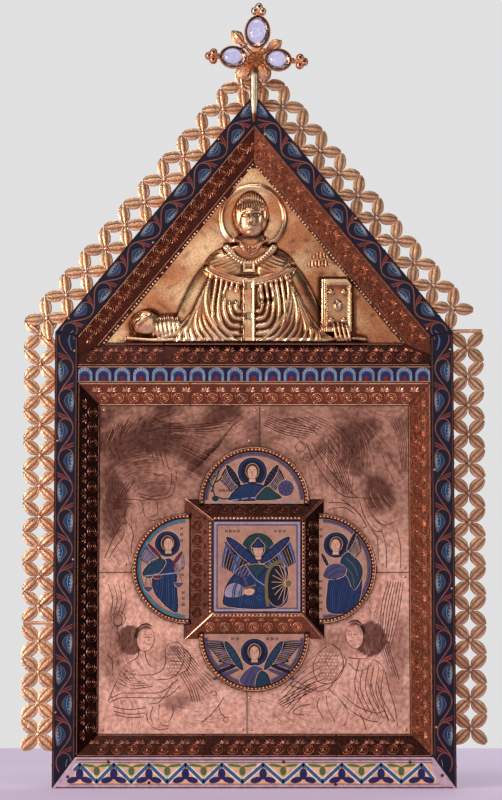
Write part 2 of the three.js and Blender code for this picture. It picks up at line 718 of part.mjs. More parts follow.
function makeCross() {
  const { crystals, tips, tipRadius, tipRise, depth, plate, hub, bar, leaves, knobs } = finial;
  const disc = new THREE.CylinderGeometry(hub.radius, hub.radius, plate, hub.sides);
  disc.translate(0, frontY + depth + plate / 2, 0);
  const berries = knobs.map(({ at, radius }) => knob(...at, radius));
  let solid = unite([disc, ...leaves.map(makeLeaf), ...berries]);
  for (const [side, angle] of Object.entries(arms)) {
    const strap = slab(rectangle(-bar.halfWidth, bar.from, bar.halfWidth, tips[side]), depth, depth + plate);
    const spots = [[-tipRadius, 0], [tipRadius, 0], [0, tipRadius * tipRise]];
    const trefoil = spots.map(([x, z]) => knob(x, tips[side] + z, tipRadius, depth + plate / 2));
    const arm = unite([strap, ...trefoil]).add(makeBezel(crystals[side]));
    solid = solid.add(arm.rotate([0, THREE.MathUtils.radToDeg(angle), 0]));
  }
  return toGeometry(solid);
}

function makeCrystal({ along, halfLength, halfWidth: half, height }, angle) {
  const { rings, sides } = finial.crystalFacets;
  const profile = [new THREE.Vector2(0, gap)];
  for (let i = 0; i <= rings; i++) {
    const bend = i / rings * Math.PI / 2;
    const reach = i === rings ? 0 : Math.cos(bend);
    profile.push(new THREE.Vector2(reach, Math.sin(bend) * height + gap));
  }
  const geometry = new THREE.LatheGeometry(profile, sides);
  geometry.scale(half, 1, halfLength);
  geometry.rotateX(Math.PI);
  geometry.translate(0, frontY + finial.depth, along);
  return geometry.rotateY(angle);
}

addPiece('finial_cross', makeCross(), 'gilt', cross);
for (const [side, angle] of Object.entries(arms)) {
  addPiece(`crystal_${side}`, makeCrystal(finial.crystals[side], angle), 'crystal', cross);
}

function makeStem() {
  const { top, bottom, point, flare, halfWidth: half, thickness } = finial.stem;
  const wide = half * flare;
  const outline = [[0, bottom], [half, bottom + point], [wide, top], [-wide, top], [-half, bottom + point]];
  return slab(outline, -thickness - gap, -gap);
}

addPiece('finial_stem', makeStem(), 'gilt');

export default group;
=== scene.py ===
import bpy
import math
import numpy as np
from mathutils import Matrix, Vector


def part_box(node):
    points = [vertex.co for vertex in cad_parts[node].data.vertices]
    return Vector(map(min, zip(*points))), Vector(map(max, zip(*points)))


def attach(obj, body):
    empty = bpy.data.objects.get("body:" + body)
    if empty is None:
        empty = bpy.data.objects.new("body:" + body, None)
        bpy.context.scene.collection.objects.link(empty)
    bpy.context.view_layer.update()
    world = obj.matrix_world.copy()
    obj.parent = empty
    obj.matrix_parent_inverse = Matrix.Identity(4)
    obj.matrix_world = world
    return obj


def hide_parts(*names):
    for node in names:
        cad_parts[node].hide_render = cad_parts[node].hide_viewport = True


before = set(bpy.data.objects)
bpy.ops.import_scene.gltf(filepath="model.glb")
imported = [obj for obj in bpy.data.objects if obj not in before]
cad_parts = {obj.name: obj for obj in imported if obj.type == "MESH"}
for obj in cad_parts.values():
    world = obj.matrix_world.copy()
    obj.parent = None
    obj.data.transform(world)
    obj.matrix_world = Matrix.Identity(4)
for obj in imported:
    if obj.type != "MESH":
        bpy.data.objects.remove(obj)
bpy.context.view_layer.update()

mm = 0.001   # the drawing below is in millimetres, the scene in metres
rng = np.random.default_rng(1204)


# Small tools for drawing in millimetres.

def colour(red, green, blue, metal=1):   # 0..255 as seen on a screen, turned into linear light
    def channel(value):
        value = value / 255
        return value / 12.92 if value <= 0.04045 else ((value + 0.055) / 1.055) ** 2.4
    return (channel(red), channel(green), channel(blue), metal)


def palette(**tones):   # each tone is red, green, blue and how much metal shows
    return {name: colour(*tone) for name, tone in tones.items()}


def blend(first, second, share):
    share = np.clip(np.asarray(share, float), 0, 1)[..., None]
    return np.asarray(first) * (1 - share) + np.asarray(second) * share


def nodeBox(node):
    low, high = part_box(node)
    return np.array(low) / mm, np.array(high) / mm


def nodePoints(node):
    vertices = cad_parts[node].data.vertices
    points = np.empty(len(vertices) * 3)
    vertices.foreach_get("co", points)
    return points.reshape(-1, 3) / mm


def unit(vector):
    vector = np.asarray(vector, float)
    return vector / np.linalg.norm(vector)


# A flat place for drawing: u runs from start to end, v towards side, h out of the surface to the front.
def makePlace(start, end, side):
    start, end, side = (np.asarray(p, float) for p in (start, end, side))
    along = unit(end - start)
    across = unit(side - start - along * np.dot(side - start, along))
    out = np.cross(along, across)
    turned = out[1] > 0
    if turned:
        out = -out
    return {"origin": start, "along": along, "across": across, "out": out, "turned": turned,
            "length": float(np.linalg.norm(end - start))}


def toPlace(place, point):
    delta = np.asarray(point, float) - place["origin"]
    return [float(np.dot(delta, place["along"])), float(np.dot(delta, place["across"]))]


def newSketch(place):
    return {"place": place, "points": [], "faces": [], "tints": [], "count": 0}


def addBody(sketch, points, faces, tint):
    start = sketch["count"]
    points = np.asarray(points, float)
    tint = np.asarray(tint, float)
    sketch["points"].append(points)
    sketch["tints"].append(np.broadcast_to(tint, (len(points), 4)))
    sketch["faces"].extend(tuple(start + i for i in face) for face in faces)
    sketch["count"] += len(points)


def area(outline):
    u, v = np.asarray(outline, float).T
    return 0.5 * float(np.sum(u * np.roll(v, -1) - v * np.roll(u, -1)))


# A flat-topped plate with the given outline, from height low to height high.
def addPlate(sketch, outline, low, high, tint):
    if area(outline) < 0:
        outline = outline[::-1]
    count = len(outline)
    top = [(u, v, high) for u, v in outline]
    bottom = [(u, v, low) for u, v in outline]
    faces = [tuple(range(count)), tuple(reversed(range(count, 2 * count)))]
    faces += [(i + count, (i + 1) % count + count, (i + 1) % count, i) for i in range(count)]
    addBody(sketch, top + bottom, faces, tint)


def rectangle(left, bottom, right, top):
    return [(left, bottom), (right, bottom), (right, top), (left, top)]


def wallFaces(rings, sides):   # the faces between rings of points, each with the same number of sides
    return [(i * sides + k, i * sides + (k + 1) % sides, (i + 1) * sides + (k + 1) % sides, (i + 1) * sides + k)
            for i in range(rings) for k in range(sides)]


roundSection = [(-0.5, -0.2), (-0.34, 0.62), (0, 1), (0.34, 0.62), (0.5, -0.2)]
flatSection = [(-0.5, -1), (-0.5, 1), (0.5, 1), (0.5, -1)]
sharpSection = [(-0.5, -0.3), (0, 1), (0.5, -0.3)]


# A ridge along a path; width may change along it, and the section gives its form.
def addRidge(sketch, path, width, height, tint, section=roundSection, base=0):
    path = np.asarray(path, float)
    width = np.broadcast_to(np.asarray(width, float), (len(path),))
    tangent = np.gradient(path, axis=0)
    tangent /= np.maximum(np.linalg.norm(tangent, axis=1, keepdims=True), 1e-9)
    normal = np.stack([-tangent[:, 1], tangent[:, 0]], axis=1)
    size = len(section)
    points = np.zeros((len(path), size, 3))
    for k, (offset, level) in enumerate(section):
        points[:, k, :2] = path - normal * (offset * width)[:, None]
        points[:, k, 2] = base + level * height
    faces = []
    for i in range(len(path) - 1):
        for k in range(size):
            a, b = i * size + k, i * size + (k + 1) % size
            faces.append((a, a + size, b + size, b))
    faces.append(tuple(range(size)))
    faces.append(tuple(reversed(range((len(path) - 1) * size, len(path) * size))))
    addBody(sketch, points.reshape(-1, 3), faces, tint)


# a ridge round a closed outline
def addRing(sketch, outline, width, height, tint, section=roundSection, base=0):
    addRidge(sketch, np.concatenate([outline, outline[:2]]), width, height, tint, section, base)


def addBead(sketch, u, v, radius, height, tint, sides=8, base=0):
    points = []
    for level, share in ((-0.3, 1), (0.35, 0.92), (0.8, 0.55)):
        for k in range(sides):
            angle = 2 * math.pi * k / sides
            points.append((u + radius * share * math.cos(angle),
                           v + radius * share * math.sin(angle), base + level * height))
    points.append((u, v, base + height))
    faces = [tuple(reversed(range(sides)))] + wallFaces(2, sides)
    faces += [(2 * sides + k, 2 * sides + (k + 1) % sides, 3 * sides) for k in range(sides)]
    addBody(sketch, points, faces, tint)


# A leaf or petal: pinched at its foot, pointed at its tip, with a crown along the middle.
def addPetal(sketch, foot, tip, width, height, tint, base=0, widest=0.55):
    foot, tip = np.asarray(foot, float), np.asarray(tip, float)
    run = tip - foot
    length = np.linalg.norm(run)
    if length < 1e-6:
        return
    run = run / length
    side = np.array([-run[1], run[0]])
    shares = (0, widest * 0.5, widest, (1 + widest) / 2, 1)
    halves = (0.16, 0.4, 0.5, 0.34, 0.04)
    crowns = (0.4, 0.9, 1, 0.75, 0.1)
    points, faces = [], []
    for share, half, crown in zip(shares, halves, crowns):
        middle = foot + run * length * share
        for sign in (-1, 0, 1):
            spot = middle + side * sign * half * width
            points.append((spot[0], spot[1], base + (height * crown if sign == 0 else -0.25)))
    for i in range(len(shares) - 1):
        a = i * 3
        faces += [(a, a + 3, a + 4, a + 1), (a + 1, a + 4, a + 5, a + 2), (a + 2, a + 5, a + 3, a)]
    last = 3 * (len(shares) - 1)
    faces += [(0, 1, 2), (last + 2, last + 1, last)]
    addBody(sketch, points, faces, tint)


def curve(points, steps=6, closed=False):   # a smooth line through pairs of coordinates
    points = np.reshape(np.asarray(points, float), (-1, 2))
    count = len(points)
    if closed:
        ring = [points[i % count] for i in range(-1, count + 2)]
        spans = count
    else:
        ring = [2 * points[0] - points[1], *points, 2 * points[-1] - points[-2]]
        spans = count - 1
    made = []
    for i in range(spans):
        p0, p1, p2, p3 = ring[i:i + 4]
        for t in np.linspace(0, 1, steps, endpoint=False):
            made.append(0.5 * (2 * p1 + (p2 - p0) * t + (2 * p0 - 5 * p1 + 4 * p2 - p3) * t * t
                               + (3 * p1 - p0 - 3 * p2 + p3) * t ** 3))
    if not closed:
        made.append(points[-1])
    return np.array(made)


def ellipse(cu, cv, ru, rv, sides=20, turn=0):
    angle = np.linspace(0, 2 * math.pi, sides, endpoint=False)
    a, b = ru * np.cos(angle), rv * np.sin(angle)
    return np.stack([cu + a * math.cos(turn) - b * math.sin(turn),
                     cv + a * math.sin(turn) + b * math.cos(turn)], axis=1)


def grow(outline, distance):   # a copy of a closed outline moved outwards
    outline = np.asarray(outline, float)
    if area(outline) < 0:
        outline = outline[::-1]
    tangent = np.roll(outline, -1, axis=0) - np.roll(outline, 1, axis=0)
    tangent /= np.maximum(np.linalg.norm(tangent, axis=1, keepdims=True), 1e-9)
    return outline + np.stack([tangent[:, 1], -tangent[:, 0]], axis=1) * distance


def makeObject(name, points, faces, tints, material, flip=False, smooth=35):
    mesh = bpy.data.meshes.new(name)
    mesh.from_pydata((np.asarray(points) * mm).tolist(), [], faces)
    layer = mesh.color_attributes.new("tint", "FLOAT_COLOR", "POINT")
    layer.data.foreach_set("color", np.asarray(tints, np.float32).ravel())
    if flip:
        mesh.flip_normals()
    mesh.polygons.foreach_set("use_smooth", [True] * len(mesh.polygons))
    mesh.set_sharp_from_angle(angle=math.radians(smooth))
    mesh.materials.append(material)
    piece = bpy.data.objects.new(name, mesh)
    bpy.context.scene.collection.objects.link(piece)
    return piece


# Puts a finished sketch into the scene as one piece that stands for its node.
def finishSketch(sketch, name, material, slotName, *nodes, smooth=35):
    place = sketch["place"]
    local = np.concatenate(sketch["points"])
    world = (place["origin"] + local[:, :1] * place["along"] + local[:, 1:2] * place["across"]
             + local[:, 2:3] * place["out"])
    piece = makeObject(name, world, sketch["faces"], np.concatenate(sketch["tints"]), material,
                       flip=place["turned"], smooth=smooth)
    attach(piece, "root")
    if nodes:
        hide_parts(*nodes)
    return piece


# Materials.

def addNode(tree, kind, **settings):
    node = tree.nodes.new(kind)
    for key, value in settings.items():
        if key in node.inputs:
            node.inputs[key].default_value = value
        else:
            setattr(node, key, value)
    return node


def addNoise(tree, scale, detail=4, rough=0.55, stretch=None):
    where = addNode(tree, "ShaderNodeTexCoord")
    source = where.outputs["Object"]
    if stretch:
        mapping = addNode(tree, "ShaderNodeMapping")
        mapping.inputs["Scale"].default_value = stretch
        tree.links.new(source, mapping.inputs["Vector"])
        source = mapping.outputs["Vector"]
    noise = addNode(tree, "ShaderNodeTexNoise", Scale=scale, Detail=detail, Roughness=rough)
    tree.links.new(source, noise.inputs["Vector"])
    return noise.outputs["Fac"]


def addRange(tree, source, low, high, fromLow=0.35, fromHigh=0.65):
    node = addNode(tree, "ShaderNodeMapRange")
    for key, value in (("From Min", fromLow), ("From Max", fromHigh), ("To Min", low), ("To Max", high)):
        node.inputs[key].default_value = value
    tree.links.new(source, node.inputs["Value"])
    return node.outputs["Result"]


def addMix(tree, kind, share, first, second):
    node = addNode(tree, "ShaderNodeMix", data_type="RGBA", blend_type=kind)
    for socket, value in ((node.inputs[0], share), (node.inputs[6], first), (node.inputs[7], second)):
        if hasattr(value, "is_output"):
            tree.links.new(value, socket)
        else:
            socket.default_value = value
    return node.outputs[2]


def addBump(tree, shader, sources):
    previous = None
    for source, strength, distance in sources:
        bump = addNode(tree, "ShaderNodeBump", Strength=strength, Distance=distance)
        tree.links.new(source, bump.inputs["Height"])
        if previous is not None:
            tree.links.new(previous, bump.inputs["Normal"])
        previous = bump.outputs["Normal"]
    tree.links.new(previous, shader.inputs["Normal"])


def startMaterial(name):
    material = bpy.data.materials.new(name)
    material.use_nodes = True
    return material, material.node_tree, material.node_tree.nodes["Principled BSDF"]


# name: oxide, blotch amount and size, grain amount and size, hammer amount and size, roughness range
metals = {
    "reliefGilt": ((128, 76, 52), 0.3, 45, 0.04, 900, 0.6, 26, (0.15, 0.28)),
    "stampedCopper": ((66, 34, 26), 0.45, 60, 0.25, 900, 0.3, 300, (0.28, 0.46)),
    "plateCopper": ((150, 100, 86), 0.12, 9, 0.04, 300, 0.14, 12, (0.3, 0.42)),
    "crestGilt": ((170, 108, 78), 0.4, 60, 0.3, 1000, 0.35, 420, (0.28, 0.46)),
    "sheathGilt": ((104, 62, 42), 0.75, 22, 0.25, 900, 0.9, 34, (0.3, 0.5)),
    "crystalFoil": ((72, 64, 120), 0.6, 120, 0.2, 500, 0.3, 300, (0.25, 0.4)),
    "nailMetal": ((84, 50, 36), 0.6, 90, 0.3, 900, 0.3, 300, (0.3, 0.5)),
}


# Old gilt copper: the painted tint, dulled in blotches, with fine scratches and a hammered surface.
def makeMetal(name, tint=None, metallic=1):
    oxide, blotchShare, blotchSize, grainShare, grainSize, hammerShare, hammerSize, (low, high) = metals[name]
    material, tree, shader = startMaterial(name)
    tint = tint or addNode(tree, "ShaderNodeAttribute", attribute_name="tint").outputs["Color"]
    blotch = addNoise(tree, blotchSize, 5, 0.6)
    grain = addNoise(tree, grainSize, 3, 0.6)
    worn = addRange(tree, blotch, 0, blotchShare, 0.45, 0.72)
    base = addMix(tree, "MIX", worn, tint, colour(*oxide))
    shade = addMix(tree, "MIX", addRange(tree, grain, 0, 1), (0.72, 0.68, 0.66, 1), (1.18, 1.2, 1.22, 1))
    tree.links.new(addMix(tree, "MULTIPLY", 1, base, shade), shader.inputs["Base Color"])
    shader.inputs["Metallic"].default_value = metallic
    tree.links.new(addRange(tree, blotch, low, high), shader.inputs["Roughness"])
    hammer = addNoise(tree, hammerSize, 2, 0.5)
    addBump(tree, shader, [(hammer, hammerShare, 0.0012), (grain, grainShare, 0.0003)])
    return material


# Champleve: glassy enamel where the tint's alpha is 0, gilt copper where it is 1.
def makeEnamel(name, values):
    material, tree, shader = startMaterial(name)
    paint = addNode(tree, "ShaderNodeAttribute", attribute_name="tint")
    mottle = addNoise(tree, values["mottleScale"], 4, 0.6)
    fine = addNoise(tree, values["pitScale"], 3, 0.7)
    shade = addMix(tree, "MIX", addRange(tree, mottle, 0, 1, 0.3, 0.7), values["dark"], values["light"])
    base = addMix(tree, "MULTIPLY", 1, paint.outputs["Color"], shade)
    pits = addRange(tree, fine, 0, values["pits"], 0.62, 0.74)
    tree.links.new(addMix(tree, "MIX", pits, base, values["pitColour"]), shader.inputs["Base Color"])
    metal = addNode(tree, "ShaderNodeMath", operation="MULTIPLY")
    metal.inputs[1].default_value = values["metal"]
    tree.links.new(paint.outputs["Alpha"], metal.inputs[0])
    tree.links.new(metal.outputs[0], shader.inputs["Metallic"])
    low, high = values["roughness"]
    tree.links.new(addRange(tree, mottle, low, high), shader.inputs["Roughness"])
    shader.inputs["Specular IOR Level"].default_value = values["shine"]
    shader.inputs["Coat Weight"].default_value = values["coat"]
    shader.inputs["Coat Roughness"].default_value = 0.2
    addBump(tree, shader, [(mottle, 0.25, 0.0006), (fine, 0.3, 0.0002)])
    return material


reliefGilt, stampedCopper, plateCopper, crestGilt = (
    makeMetal(name) for name in ("reliefGilt", "stampedCopper", "plateCopper", "crestGilt"))
sheathGilt = makeMetal("sheathGilt", colour(206, 142, 92))
borderEnamel = makeEnamel("borderEnamel", {
    "mottleScale": 160, "pitScale": 700, "dark": (0.62, 0.62, 0.7, 1), "light": (1.25, 1.22, 1.2, 1),
    "pits": 0.5,
    "pitColour": colour(26, 22, 36), "metal": 0.85, "roughness": (0.24, 0.45), "coat": 0.06,
    "shine": 0.2})
plaqueEnamel = makeEnamel("plaqueEnamel", {
    "mottleScale": 240, "pitScale": 900, "dark": (0.78, 0.78, 0.82, 1), "light": (1.2, 1.18, 1.15, 1),
    "pits": 0.4,
    "pitColour": colour(60, 50, 70), "metal": 0.6, "roughness": (0.28, 0.45), "coat": 0.05,
    "shine": 0.2})


def makeWood(name, values):
    material, tree, shader = startMaterial(name)
    grain = addNoise(tree, values["scale"], 6, 0.65, values["stretch"])
    spots = addNoise(tree, 30, 4, 0.6)
    wood = addMix(tree, "MIX", addRange(tree, grain, 0, 1, 0.36, 0.64), values["dark"], values["light"])
    stain = addMix(tree, "MIX", addRange(tree, spots, 0, 0.6, 0.5, 0.7), wood, values["stain"])
    tree.links.new(stain, shader.inputs["Base Color"])
    tree.links.new(addRange(tree, grain, 0.6, 0.85), shader.inputs["Roughness"])
    addBump(tree, shader, [(grain, 0.6, 0.0008)])
    return material


agedOak = makeWood("agedOak", {
    "scale": 6, "stretch": (22, 22, 1.6), "dark": colour(62, 40, 26), "light": colour(128, 88, 58),
    "stain": colour(44, 30, 24)})

print("materials ready")


# Where things are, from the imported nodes.

# The corners of a strip's front, in order round it.
def cornersOf(node):
    nearest = {}
    for x, y, z in nodePoints(node):
        key = (round(x, 1), round(z, 1))
        if key not in nearest or y < nearest[key][1]:
            nearest[key] = (x, y, z)
    corners = np.array(list(nearest.values()))
    centre = corners.mean(axis=0)
    return corners[np.argsort(np.arctan2(corners[:, 2] - centre[2], corners[:, 0] - centre[0]))]


# A leaning strip: u runs along its edge nearest the front, v across it.
def leaningPlace(node):
    corners = cornersOf(node)
    byDepth = corners[np.argsort(corners[:, 1])]
    start, end = sorted((tuple(p) for p in byDepth[:2]), key=lambda p: (round(p[0], 1), p[2]))
    place = makePlace(start, end, byDepth[-1])
    outline = np.array([toPlace(place, p) for p in corners])
    return place, outline


def insideBy(outline, u, v):   # how far a point is inside a convex outline
    if area(outline) < 0:
        outline = outline[::-1]
    a, b = outline, np.roll(outline, -1, axis=0)
    edge = b - a
    edge = edge / np.linalg.norm(edge, axis=1, keepdims=True)
    return float(np.min(edge[:, 0] * (v - a[:, 1]) - edge[:, 1] * (u - a[:, 0])))


frontY = nodeBox("enamel_base")[0][1]


def frontPlace(x, z, depth=0):   # u to the right, v up, from a point on an upright plane
    y = frontY + depth
    return makePlace((x, y, z), (x + 1, y, z), (x, y, z + 1))


# Enamel borders.

vine = {
    **palette(ground=(8, 9, 36, 0), line=(142, 84, 70, 0.8), edge=(100, 68, 58, 1), outer=(40, 26, 26, 1),
              bud=(104, 24, 30, 0), leaf=(26, 66, 92, 0), leafDark=(18, 44, 98, 0), leafPale=(124, 142, 148, 0),
              worn=(116, 106, 128, 0.3)),
    "sidePitch": 22.3, "slopePitch": 20.5, "swing": 0.32, "lineWidth": 0.85,
}


def drawVine(sketch, outline, first, last, width, pitch, flip=1):
    swing = vine["swing"] * width
    count = max(2, round((last - first) / pitch))
    pitch = (last - first) / count
    u = np.linspace(first, last, count * 10 + 1)
    v = -flip * swing * np.cos((u - first - pitch / 2) / pitch * math.pi)
    stem = np.array([p for p in np.stack([u, v], axis=1) if insideBy(outline, *p) > 0.9])
    addRidge(sketch, stem, vine["lineWidth"], 0.1, vine["line"], flatSection)
    for i in range(count):
        middle = first + (i + 0.5) * pitch
        if insideBy(outline, middle, 0) < 1:
            continue
        turn = flip * (1 if i % 2 == 0 else -1)

        def at(points):
            return [(middle - d * pitch, turn * q * swing) for d, q in points]

        def layPlate(points, *rest):
            if min(insideBy(outline, *p) for p in points) > 0.2:
                addPlate(sketch, points, *rest)

        def layRidge(points, *rest):
            kept = [p for p in points if insideBy(outline, *p) > 0.5]
            if len(kept) > 2:
                addRidge(sketch, kept, *rest)

        bud = at([(-0.29, -0.3), (-0.41, 0.2), (-0.5, 0.95), (-0.44, 1.12), (-0.35, 0.9), (-0.33, 0.3)])
        layPlate(bud, -0.3, 0.06, vine["bud"])
        leaf = curve(at([(-0.18, 0.9), (-0.11, 0.2), (0.1, -0.22), (0.26, 0.1), (0.45, 0.78), (0.2, 1.02),
                         (-0.05, 1.06)]), 4, closed=True)
        layPlate(grow(leaf, 0.35), -0.3, 0.05, vine["line"])
        layPlate(leaf, -0.3, 0.08, vine["leaf"])
        inner = curve(at([(-0.04, 0.3), (0.1, 0.08), (0.22, 0.3), (0.34, 0.66), (0.12, 0.6)]), 3, closed=True)
        layPlate(inner, -0.3, 0.1, vine["leafDark"])
        teeth = at([(-0.13, 1), (-0.1, 0.72), (-0.03, 0.9), (0.02, 0.62), (0.09, 0.86), (0.14, 0.56),
                    (0.2, 0.84),
                    (0.25, 0.54), (0.31, 0.8), (0.44, 0.78), (0.2, 1.04), (0, 1.08)])
        layPlate(teeth, -0.3, 0.12, vine["leafPale"])
        vein = curve(at([(-0.1, 0.5), (0.08, 0.34), (0.26, 0.5), (0.4, 0.74)]), 4)
        layRidge(vein, 0.4, 0.14, vine["leafPale"], flatSection)
        branch = curve(at([(-0.2, -0.8), (-0.29, -0.3), (-0.315, 0.2), (-0.25, 0.72), (-0.12, 0.98),
                           (0.05, 1.04)]), 5)
        layRidge(branch, 0.7, 0.13, vine["line"], flatSection)
        fork = curve(at([(-0.27, -0.4), (-0.42, 0.2), (-0.52, 1.15)]), 4)
        layRidge(fork, 0.5, 0.12, vine["line"], flatSection)
        layRidge(at([(-0.34, 0.25), (-0.38, 0.7), (-0.41, 1.1)]), 0.45, 0.12, vine["line"], flatSection)


# Draws the two gilt lines along a border strip, stopping at its mitres.
def drawEdges(sketch, outline, width):
    outline = outline if area(outline) > 0 else outline[::-1]
    u = np.linspace(outline[:, 0].min(), outline[:, 0].max(), 160)
    for v, lineWidth, tint in ((0.44, 0.75, vine["edge"]), (-0.44, 0.75, vine["edge"]),
                               (0.485, 0.6, vine["outer"]), (-0.485, 0.6, vine["outer"])):
        kept = [x for x in u if insideBy(outline, x, v * width) > 0.12]
        if len(kept) > 1:
            path = [(x, v * width) for x in np.linspace(kept[0], kept[-1], 12)]
            addRidge(sketch, path, lineWidth, 0.12, tint, flatSection)


def makeBorder(node, flip):
    corners = cornersOf(node)
    if "side" in node:
        low, high = nodeBox(node)
        place = frontPlace((low[0] + high[0]) / 2, 0)
        place = makePlace(place["origin"], place["origin"] + (0, 0, 1), place["origin"] + (1, 0, 0))
        span, pitch = (8, 352), vine["sidePitch"]
    else:
        top = corners[np.argsort(corners[:, 2])[-2:]].mean(axis=0)
        bottom = corners[np.argsort(corners[:, 2])[:2]].mean(axis=0)
        place = makePlace(bottom, top, bottom + (1, 0, 0))
        span, pitch = (-7, float(np.linalg.norm(top - bottom)) + 8), vine["slopePitch"]
    outline = np.array([toPlace(place, p) for p in corners])
    width = nodeBox("enamel_side_left")[1][0] - nodeBox("enamel_side_left")[0][0]
    sketch = newSketch(place)
    addPlate(sketch, outline, -2.5, 0, vine["ground"])
    drawVine(sketch, outline, *span, width, pitch, flip)
    drawEdges(sketch, outline, width)
    return sketch, width


def addNail(sketch, u, v, tint, radius=1.25, base=0):
    addBead(sketch, u, v, radius, 0.8, tint, base=base)


nailTint = colour(206, 160, 120)
for node, flip, nails in (("enamel_side_left", 1, (57, 172, 262, 331)),
                          ("enamel_side_right", -1, (46, 150, 240, 332)),
                          ("enamel_slope_left", 1, (10, 96, 190)), ("enamel_slope_right", -1, (10, 110, 205))):
    sketch, width = makeBorder(node, flip)
    for i, spot in enumerate(nails):
        addNail(sketch, spot, width * (0.36 if i % 2 else -0.36), nailTint, 1)
    finishSketch(sketch, node + "_enamelled", borderEnamel, "enamel_border", node)
print("border strips drawn")

zigzag = {
    **palette(ground=(232, 178, 146, 0), rim=(200, 172, 184, 0.5), bandBlue=(62, 92, 128, 0),
              white=(236, 226, 214, 0), navy=(30, 34, 92, 0), outline=(104, 40, 40, 0.2),
              green=(90, 104, 66, 0), yellow=(196, 180, 112, 0), nail=(92, 30, 34, 0.9)),
    "peaks": (-131, -105.4, -79, -51.6, -24.4, 6.7, 36.9, 65.7, 95.2, 125.5), "low": 5, "high": 18.2,
}
sketch = newSketch(frontPlace(0, 0))
corners = cornersOf("enamel_base")
outline = corners[:, [0, 2]]
addPlate(sketch, outline, -2.5, 0, zigzag["rim"])
left, right = outline[:, 0].min(), outline[:, 0].max()
addPlate(sketch, [(left + 15, 3.6), (right - 15, 3.6), (right - 19, 19.4), (left + 19, 19.4)], -0.4, 0.05,
         zigzag["ground"])
for v in (1, 21.6):
    inset = 2 + v * 0.75
    addRidge(sketch, [(x, v) for x in np.linspace(left + inset, right - inset, 20)], 0.8, 0.2,
             zigzag["outline"],
             flatSection)
for v in (3.6, 19.4):
    inset = 12 + v * 0.3
    addRidge(sketch, [(x, v) for x in np.linspace(left + inset, right - inset, 20)], 0.5, 0.16,
             zigzag["outline"],
             flatSection)
peaks = zigzag["peaks"]
line = []
for i, peak in enumerate(peaks):
    line.append((peak, zigzag["high"]))
    if i + 1 < len(peaks):
        line.append(((peak + peaks[i + 1]) / 2, zigzag["low"]))
line = [(peaks[0] - 4, zigzag["low"] + 9)] + line + [(peaks[-1] + 9, zigzag["low"] + 2)]
for a, b in zip(line, line[1:]):
    a, b = np.array(a), np.array(b)
    step = unit(b - a) * 0.7
    addRidge(sketch, [a - step, b + step], 4.3, 0.08, zigzag["white"], flatSection)
for a, b in zip(line, line[1:]):
    a, b = np.array(a), np.array(b)
    step = unit(b - a) * 0.5
    addRidge(sketch, [a - step, b + step], 2.5, 0.12, zigzag["bandBlue"], flatSection)
for peak in peaks[1:] if peaks[0] < left + 16 else peaks:
    for du, dv, ru, rv, turn in ((0, 11.2, 2.5, 3.9, 0), (-5.2, 6.6, 4.1, 1.9, 0.25),
                                 (5.2, 6.6, 4.1, 1.9, -0.25)):
        addPlate(sketch, ellipse(peak + du, dv, ru + 0.4, rv + 0.4, 16, turn), -0.4, 0.09, zigzag["outline"])
        addPlate(sketch, ellipse(peak + du, dv, ru, rv, 16, turn), -0.4, 0.12, zigzag["navy"])
for a, b in zip(peaks, peaks[1:]):
    spot = (a + b) / 2
    for du, dv, ru, rv, turn in ((0, 13.2, 2.5, 3.6, 0), (-6, 17.4, 5, 1.2, -0.12), (6, 17.4, 5, 1.2, 0.12)):
        addPlate(sketch, ellipse(spot + du, dv, ru + 0.45, rv + 0.4, 16, turn), -0.4, 0.09, zigzag["yellow"])
        addPlate(sketch, ellipse(spot + du, dv, ru - 0.2, rv - 0.3, 16, turn), -0.4, 0.12, zigzag["green"])
for u, v in ((-109.5, 19.9), (-79, 4.6), (22, 20), (61, 3.4), (117, 19.8), (-140, 9), (141, 10)):
    addNail(sketch, u, v, zigzag["nail"], 1.3)
finishSketch(sketch, "enamel_base_enamelled", plaqueEnamel, "enamel_zigzag", "enamel_base")

arches = {
    **palette(ground=(14, 18, 64, 0), ring=(140, 146, 156, 0), hatch=(60, 78, 116, 0.2),
              middle=(28, 56, 112, 0), inner=(20, 32, 84, 0), core=(120, 28, 32, 0), edge=(172, 130, 96, 1)),
    "count": 19, "halfWidth": 5.9, "height": 10.4, "foot": 0.9,
}
sketch = newSketch(frontPlace(0, nodeBox("enamel_arches")[0][2]))
low, high = nodeBox("enamel_arches")
half, tall = (high[0] - low[0]) / 2, high[2] - low[2]
addPlate(sketch, rectangle(-half, 0, half, tall), -2.5, 0, arches["ground"])
pitch = 2 * half / (arches["count"] - 0.25)


def archOutline(centre, halfWidth, height, foot):
    angle = np.linspace(0, math.pi, 15)
    rise = height - halfWidth * 0.9
    points = [(centre + halfWidth * math.cos(a), foot + rise + halfWidth * 0.9 * math.sin(a)) for a in angle]
    return [(centre + halfWidth, foot)] + points + [(centre - halfWidth, foot)]


